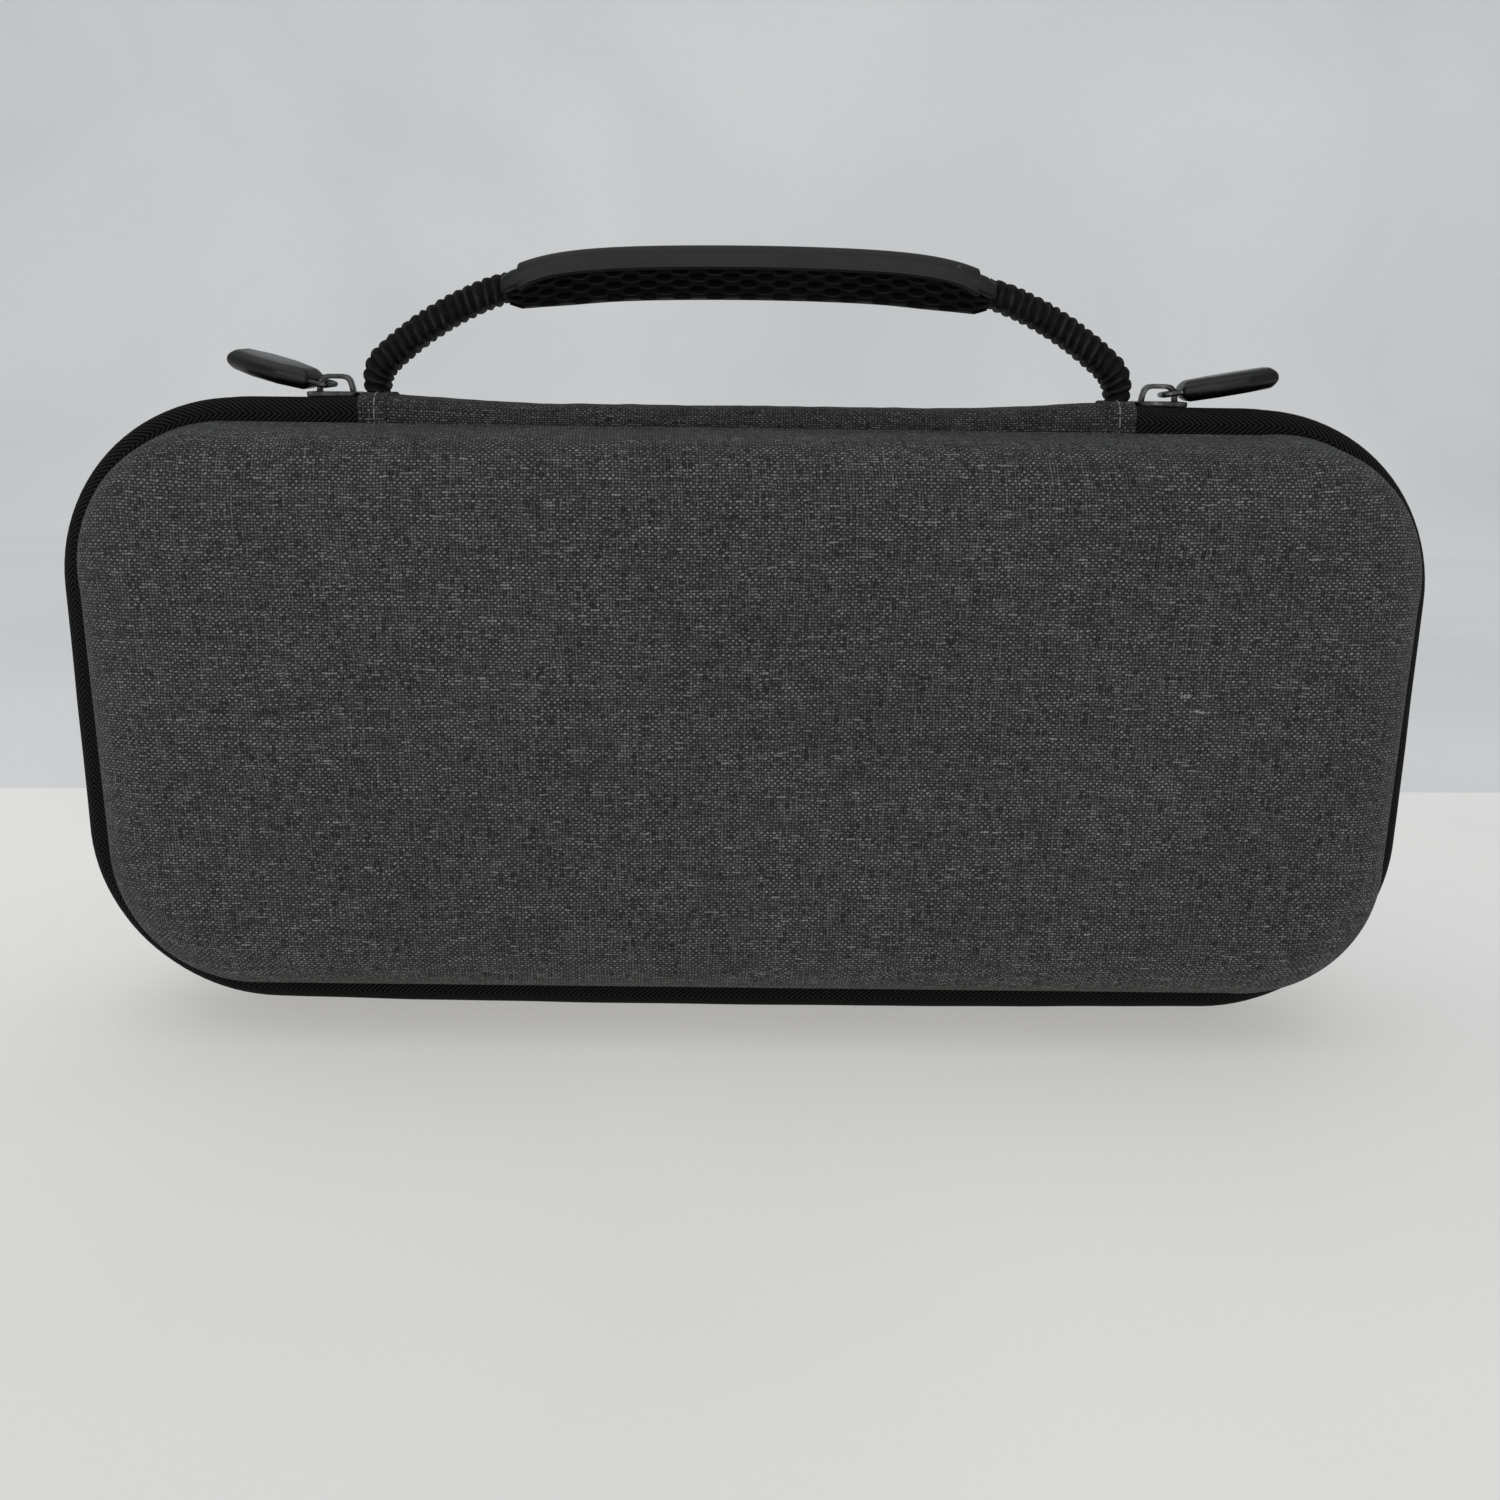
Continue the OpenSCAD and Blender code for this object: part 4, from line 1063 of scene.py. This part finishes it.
def link_path():
    """A wire loop: the bar through the slider's eye and two arms into the tab."""
    w, r, far = LINK_W / 2 - 0.6, 0.9, ARM_REACH
    quarter = np.linspace(0, pi / 2, 6)[1:]
    half = [(0.0, y) for y in (0.0, (w - r) / 2, w - r)]
    half += [(r - r * cos(q), w - r + r * sin(q)) for q in quarter]
    half += [(x, w) for x in np.linspace(r, far - r, 6)[1:]]
    half += [(far - r + r * sin(q), w - r + r * cos(q)) for q in quarter]
    return [(x, y, 0.0) for x, y in mirrored(half, 1, -1)[:-1]]


def tab_parts():
    """A rubber pull: a long hexagon with broad bevels, a little fuller towards its far end."""
    half_t, waist, far_w, cheek = TAB_T / 2, 1.1, 4.2, 8.0
    verts = []
    for inset, z in ((2.3, -half_t), (1.5, 0.15 - half_t), (0.0, -waist), (0.0, waist), (1.5, half_t - 0.15),
                     (2.3, half_t)):
        half = [(inset, LINK_W / 2 + 0.5 - inset), (cheek + 0.2 * inset, TAB_W / 2 - inset),
                (TAB_LEN - cheek - 0.2 * inset, TAB_W / 2 - inset), (TAB_LEN - inset, far_w - inset)]
        verts += [(TAB_REACH + x, y, z) for x, y in mirrored(half, 1, -1)]
    return np.array(verts), loft(6, 8), None


def turned(shape, matrix):
    verts, faces, uv = shape
    m = np.array(matrix)
    return verts @ m[:3, :3].T + m[:3, 3], faces, uv


MIRROR = Matrix.Diagonal((-1, 1, 1, 1))
SPOT = Matrix.Translation((SLIDER_X, 0, CROWN))
SLIDER = {1: SPOT, -1: MIRROR @ SPOT}
PULL = {
    1: Matrix.Translation((SLIDER_X + 1, 0, BAR_Z)) @ Matrix.Rotation(-RIGHT_TILT, 4, "Y"),
    -1: MIRROR @ Matrix.Translation((SLIDER_X + 1.6, 0, BAR_Z)) @ Matrix.Rotation(-LEFT_TILT, 4, "Y")
    @ Matrix.Rotation(LEFT_TURN, 4, "Z") @ Matrix.Rotation(LEFT_ROLL, 4, "X"),
}
for sign, where in SIDES:
    ob = piece(f"slider_body_{where}", turned(slider_parts(), SLIDER[sign]), SLIDER_METAL)
    softened(ob, 0.28, 2, 25.0)
    seat(ob, f"zip_slider_{where}", "slider_metal", f"slider_{where}")
    wire = turned(tube(link_path(), BAR_D / 2, loop=True), PULL[sign])
    seat(piece(f"pull_wire_{where}", wire, SLIDER_METAL), f"zip_pull_{where}", "slider_metal", f"pull_link_{where}")
    ob = piece(f"rubber_tab_{where}", turned(tab_parts(), PULL[sign]), TAB_RUBBER)
    softened(ob, 0.75, 4, 12.0, 60.0)
    seat(ob, f"zip_pull_{where}", "tab_rubber", f"pull_tab_{where}")


# ---- foam insert

FOAM_GAP = BINDING_T + 0.3
FOAM_TOP = 0.06  # the two trays press together when the case is shut
FOAM_SOFT, POCKET_R = 0.9, 3.0
INNER_R = EDGE_R - INNER_T
PAD_D = FACE_D - INNER_T - PAD_T
PAD_SIN = max(sin(DRAFT), (PAD_D - ROUND_D) / INNER_R)
PAD_X = ROUND_X + INNER_R * sqrt(1 - PAD_SIN ** 2) - FOAM_GAP
POCKETS_X, POCKETS_Z = CX + PAD_X - END_T, CZ + PAD_X - RAIL_T
POCKET_W = (2 * POCKETS_X - (COLS - 1) * FOAM_WALL) / COLS
POCKET_H = (2 * POCKETS_Z - (ROWS - 1) * FOAM_WALL) / ROWS
FOAM_R = RIM_R - INNER_T / cos(DRAFT) - FOAM_GAP - 0.15


def rounded_box(x0, x1, z0, z1, r, n=5):
    corners = ((x1 - r, z1 - r), (x0 + r, z1 - r), (x0 + r, z0 + r), (x1 - r, z0 + r))
    return [p for k, c in enumerate(corners) for p in arc(c, r, k * pi / 2, (k + 1) * pi / 2, n)]


def foam_outline(deep):
    """One filled outline with its pockets as holes, given depth and soft edges: verts in mm, and faces."""
    curve = bpy.data.curves.new("foam_outline", "CURVE")
    curve.dimensions, curve.fill_mode, curve.bevel_resolution = "2D", "BOTH", 2
    curve.extrude, curve.bevel_depth, curve.offset = (deep - FOAM_SOFT) * MM, FOAM_SOFT * MM, -FOAM_SOFT * MM
    loops = [rounded_box(-CX - FOAM_R, CX + FOAM_R, -CZ - FOAM_R, CZ + FOAM_R, FOAM_R, 16)]
    for c in range(COLS):
        for r in range(ROWS):
            x0, z0 = c * (POCKET_W + FOAM_WALL) - POCKETS_X, r * (POCKET_H + FOAM_WALL) - POCKETS_Z
            loops.append(rounded_box(x0, x0 + POCKET_W, z0, z0 + POCKET_H, POCKET_R))
    for pts in loops:
        spline = curve.splines.new("POLY")
        spline.points.add(len(pts) - 1)
        for point, (x, z) in zip(spline.points, pts):
            point.co = (x * MM, z * MM, 0, 1)
        spline.use_cyclic_u = True
    holder = linked("foam_outline", curve)
    me = evaluated_mesh(holder)
    bpy.data.objects.remove(holder)
    bpy.data.curves.remove(curve)
    verts, faces = np.array([tuple(v.co) for v in me.vertices]) / MM, [list(p.vertices) for p in me.polygons]
    bpy.data.meshes.remove(me)
    return verts, faces


def foam_grid(side):
    """The pocketed block, leaning to the shell's walls, with the small waves of cut foam."""
    deep = (PAD_D - FOAM_TOP) / 2
    verts, faces = foam_outline(deep)
    out = []
    for x, z, h in verts:
        d = FOAM_TOP + deep + h
        kx, kz = min(CX, max(-CX, x)), min(CZ, max(-CZ, z))
        far = math.hypot(x - kx, z - kz)
        if far > FOAM_R - 3.0:
            share = max(0.0, (d - FOAM_TOP) / (PAD_D - FOAM_TOP))
            keep = (far - share * (FOAM_R - PAD_X + 0.3)) / far
            x, z = kx + (x - kx) * keep, kz + (z - kz) * keep
        wave = 0.16 * noise.noise(Vector((x / 18, z / 18, d / 30)))
        sway = 0.4 * noise.noise(Vector((x / 26, z / 26, 7.0))) * max(0.0, 1 - d / 4)
        out.append((x + wave, side * (d + (0.1 * wave if d > 5 else 0.0)) + sway, MID_Z + z + wave))
    return out, faces, None


def foam_base(side):
    """The pad under the pockets, rounded to the bottom of the shell."""
    top = PAD_D + 0.15
    rim = [(PAD_X - 1.2, top), (PAD_X - 0.6, top + 0.4), (PAD_X - 0.9, top + 1.2)]
    rim += arc((ROUND_X - FOAM_GAP - 0.1, ROUND_D - 0.1), INNER_R, math.asin(PAD_SIN) + 0.2, pi / 2, 5)
    verts, faces, _ = joined([tray(rim, side), tray(rim[:1], side)])
    return verts, faces, None


for side, name, body in HALVES:
    for ending, shape, nodes in (("grid", foam_grid(side), ("ends", "rails", "dividers")),
                                 ("base", foam_base(side), ("pad",))):
        ob = piece(f"{name}_foam_{ending}", shape, FOAM, 50)
        seat(ob, body, "foam", *(f"{name}_foam_{node}" for node in nodes))

for node in ("anchor_left", "anchor_right", "handle_webbing"):
    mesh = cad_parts[node].data
    mesh.materials.clear()
    mesh.materials.append(WEBBING)


# ---- stage, light and camera, in metres


def stage_sheet(name, rows, material, skew=0.0):
    """A wide sheet from a run of (y, z) points."""
    half_w = 2.5
    me = bpy.data.meshes.new(name)
    me.from_pydata([(x, y + skew * x, z) for y, z in rows for x in (-half_w, half_w)], [],
                   [(2 * a, 2 * a + 1, 2 * a + 3, 2 * a + 2) for a in range(len(rows) - 1)])
    me.polygons.foreach_set("use_smooth", np.ones(len(me.polygons), bool))
    me.materials.append(material)
    linked(name, me)


BACK_Y, SWEEP, LOW_Z, FLOOR_Z = 1.5, 0.35, -0.0015, -0.0002
cove = [(-2.5, LOW_Z)] + arc((BACK_Y - SWEEP, LOW_Z + SWEEP), SWEEP, -pi / 2, 0, 11) + [(BACK_Y, 2.2)]
# both sheets glow: painted light that lifts the shadow under the case
stage_sheet("backdrop", cove, sheet_cloth("backdrop_cloth", 0.40, 0.34, (0.975, 0.992, 1.0)))
stage_sheet("floor_cloth", [(-2.0, FLOOR_Z), (0.2115, FLOOR_Z), (0.2125, -0.0014)],
            sheet_cloth("floor_white", 0.52, 0.41, (1.0, 0.99, 0.945)), 0.03)

world = bpy.data.worlds.new("studio")
scene.world = world
world.use_nodes = True
background = world.node_tree.nodes["Background"]
background.inputs["Color"].default_value = (0.97, 0.99, 1.0, 1.0)
background.inputs["Strength"].default_value = 0.40


def soft_light(name, at, look, size, power):
    data = bpy.data.lights.new(name, "AREA")
    data.shape, data.energy = "RECTANGLE", power
    data.size, data.size_y = size
    ob = linked(name, data)
    ob.location = at
    ob.rotation_euler = (Vector(look) - Vector(at)).to_track_quat("-Z", "Y").to_euler()


soft_light("overhead", (-0.15, -0.25, 1.35), (0, 0, 0.05), (1.6, 1.2), 4.5)
soft_light("front_fill", (-0.2, -1.6, 0.6), (0, 0, 0.08), (1.8, 1.2), 9.0)

scene.view_settings.view_transform = "Standard"
scene.view_settings.look = "None"

PITCH, YAW, ROLL = radians(14.585), radians(0.155), radians(0.708)
EYE = (0.000701, -0.397188, 0.175768)
sight = Vector((sin(YAW) * cos(PITCH), cos(YAW) * cos(PITCH), -sin(PITCH)))
right = sight.cross(Vector((0, 0, 1))).normalized()
up = right.cross(sight)
right, up = right * cos(ROLL) + up * sin(ROLL), up * cos(ROLL) - right * sin(ROLL)
camera = linked("camera", bpy.data.cameras.new("camera"))
camera.data.sensor_width = 36.0
camera.data.lens = 36.0
camera.data.clip_start = 0.01
camera.matrix_world = Matrix([(right[k], up[k], -sight[k], EYE[k]) for k in range(3)] + [(0, 0, 0, 1)])
scene.camera = camera
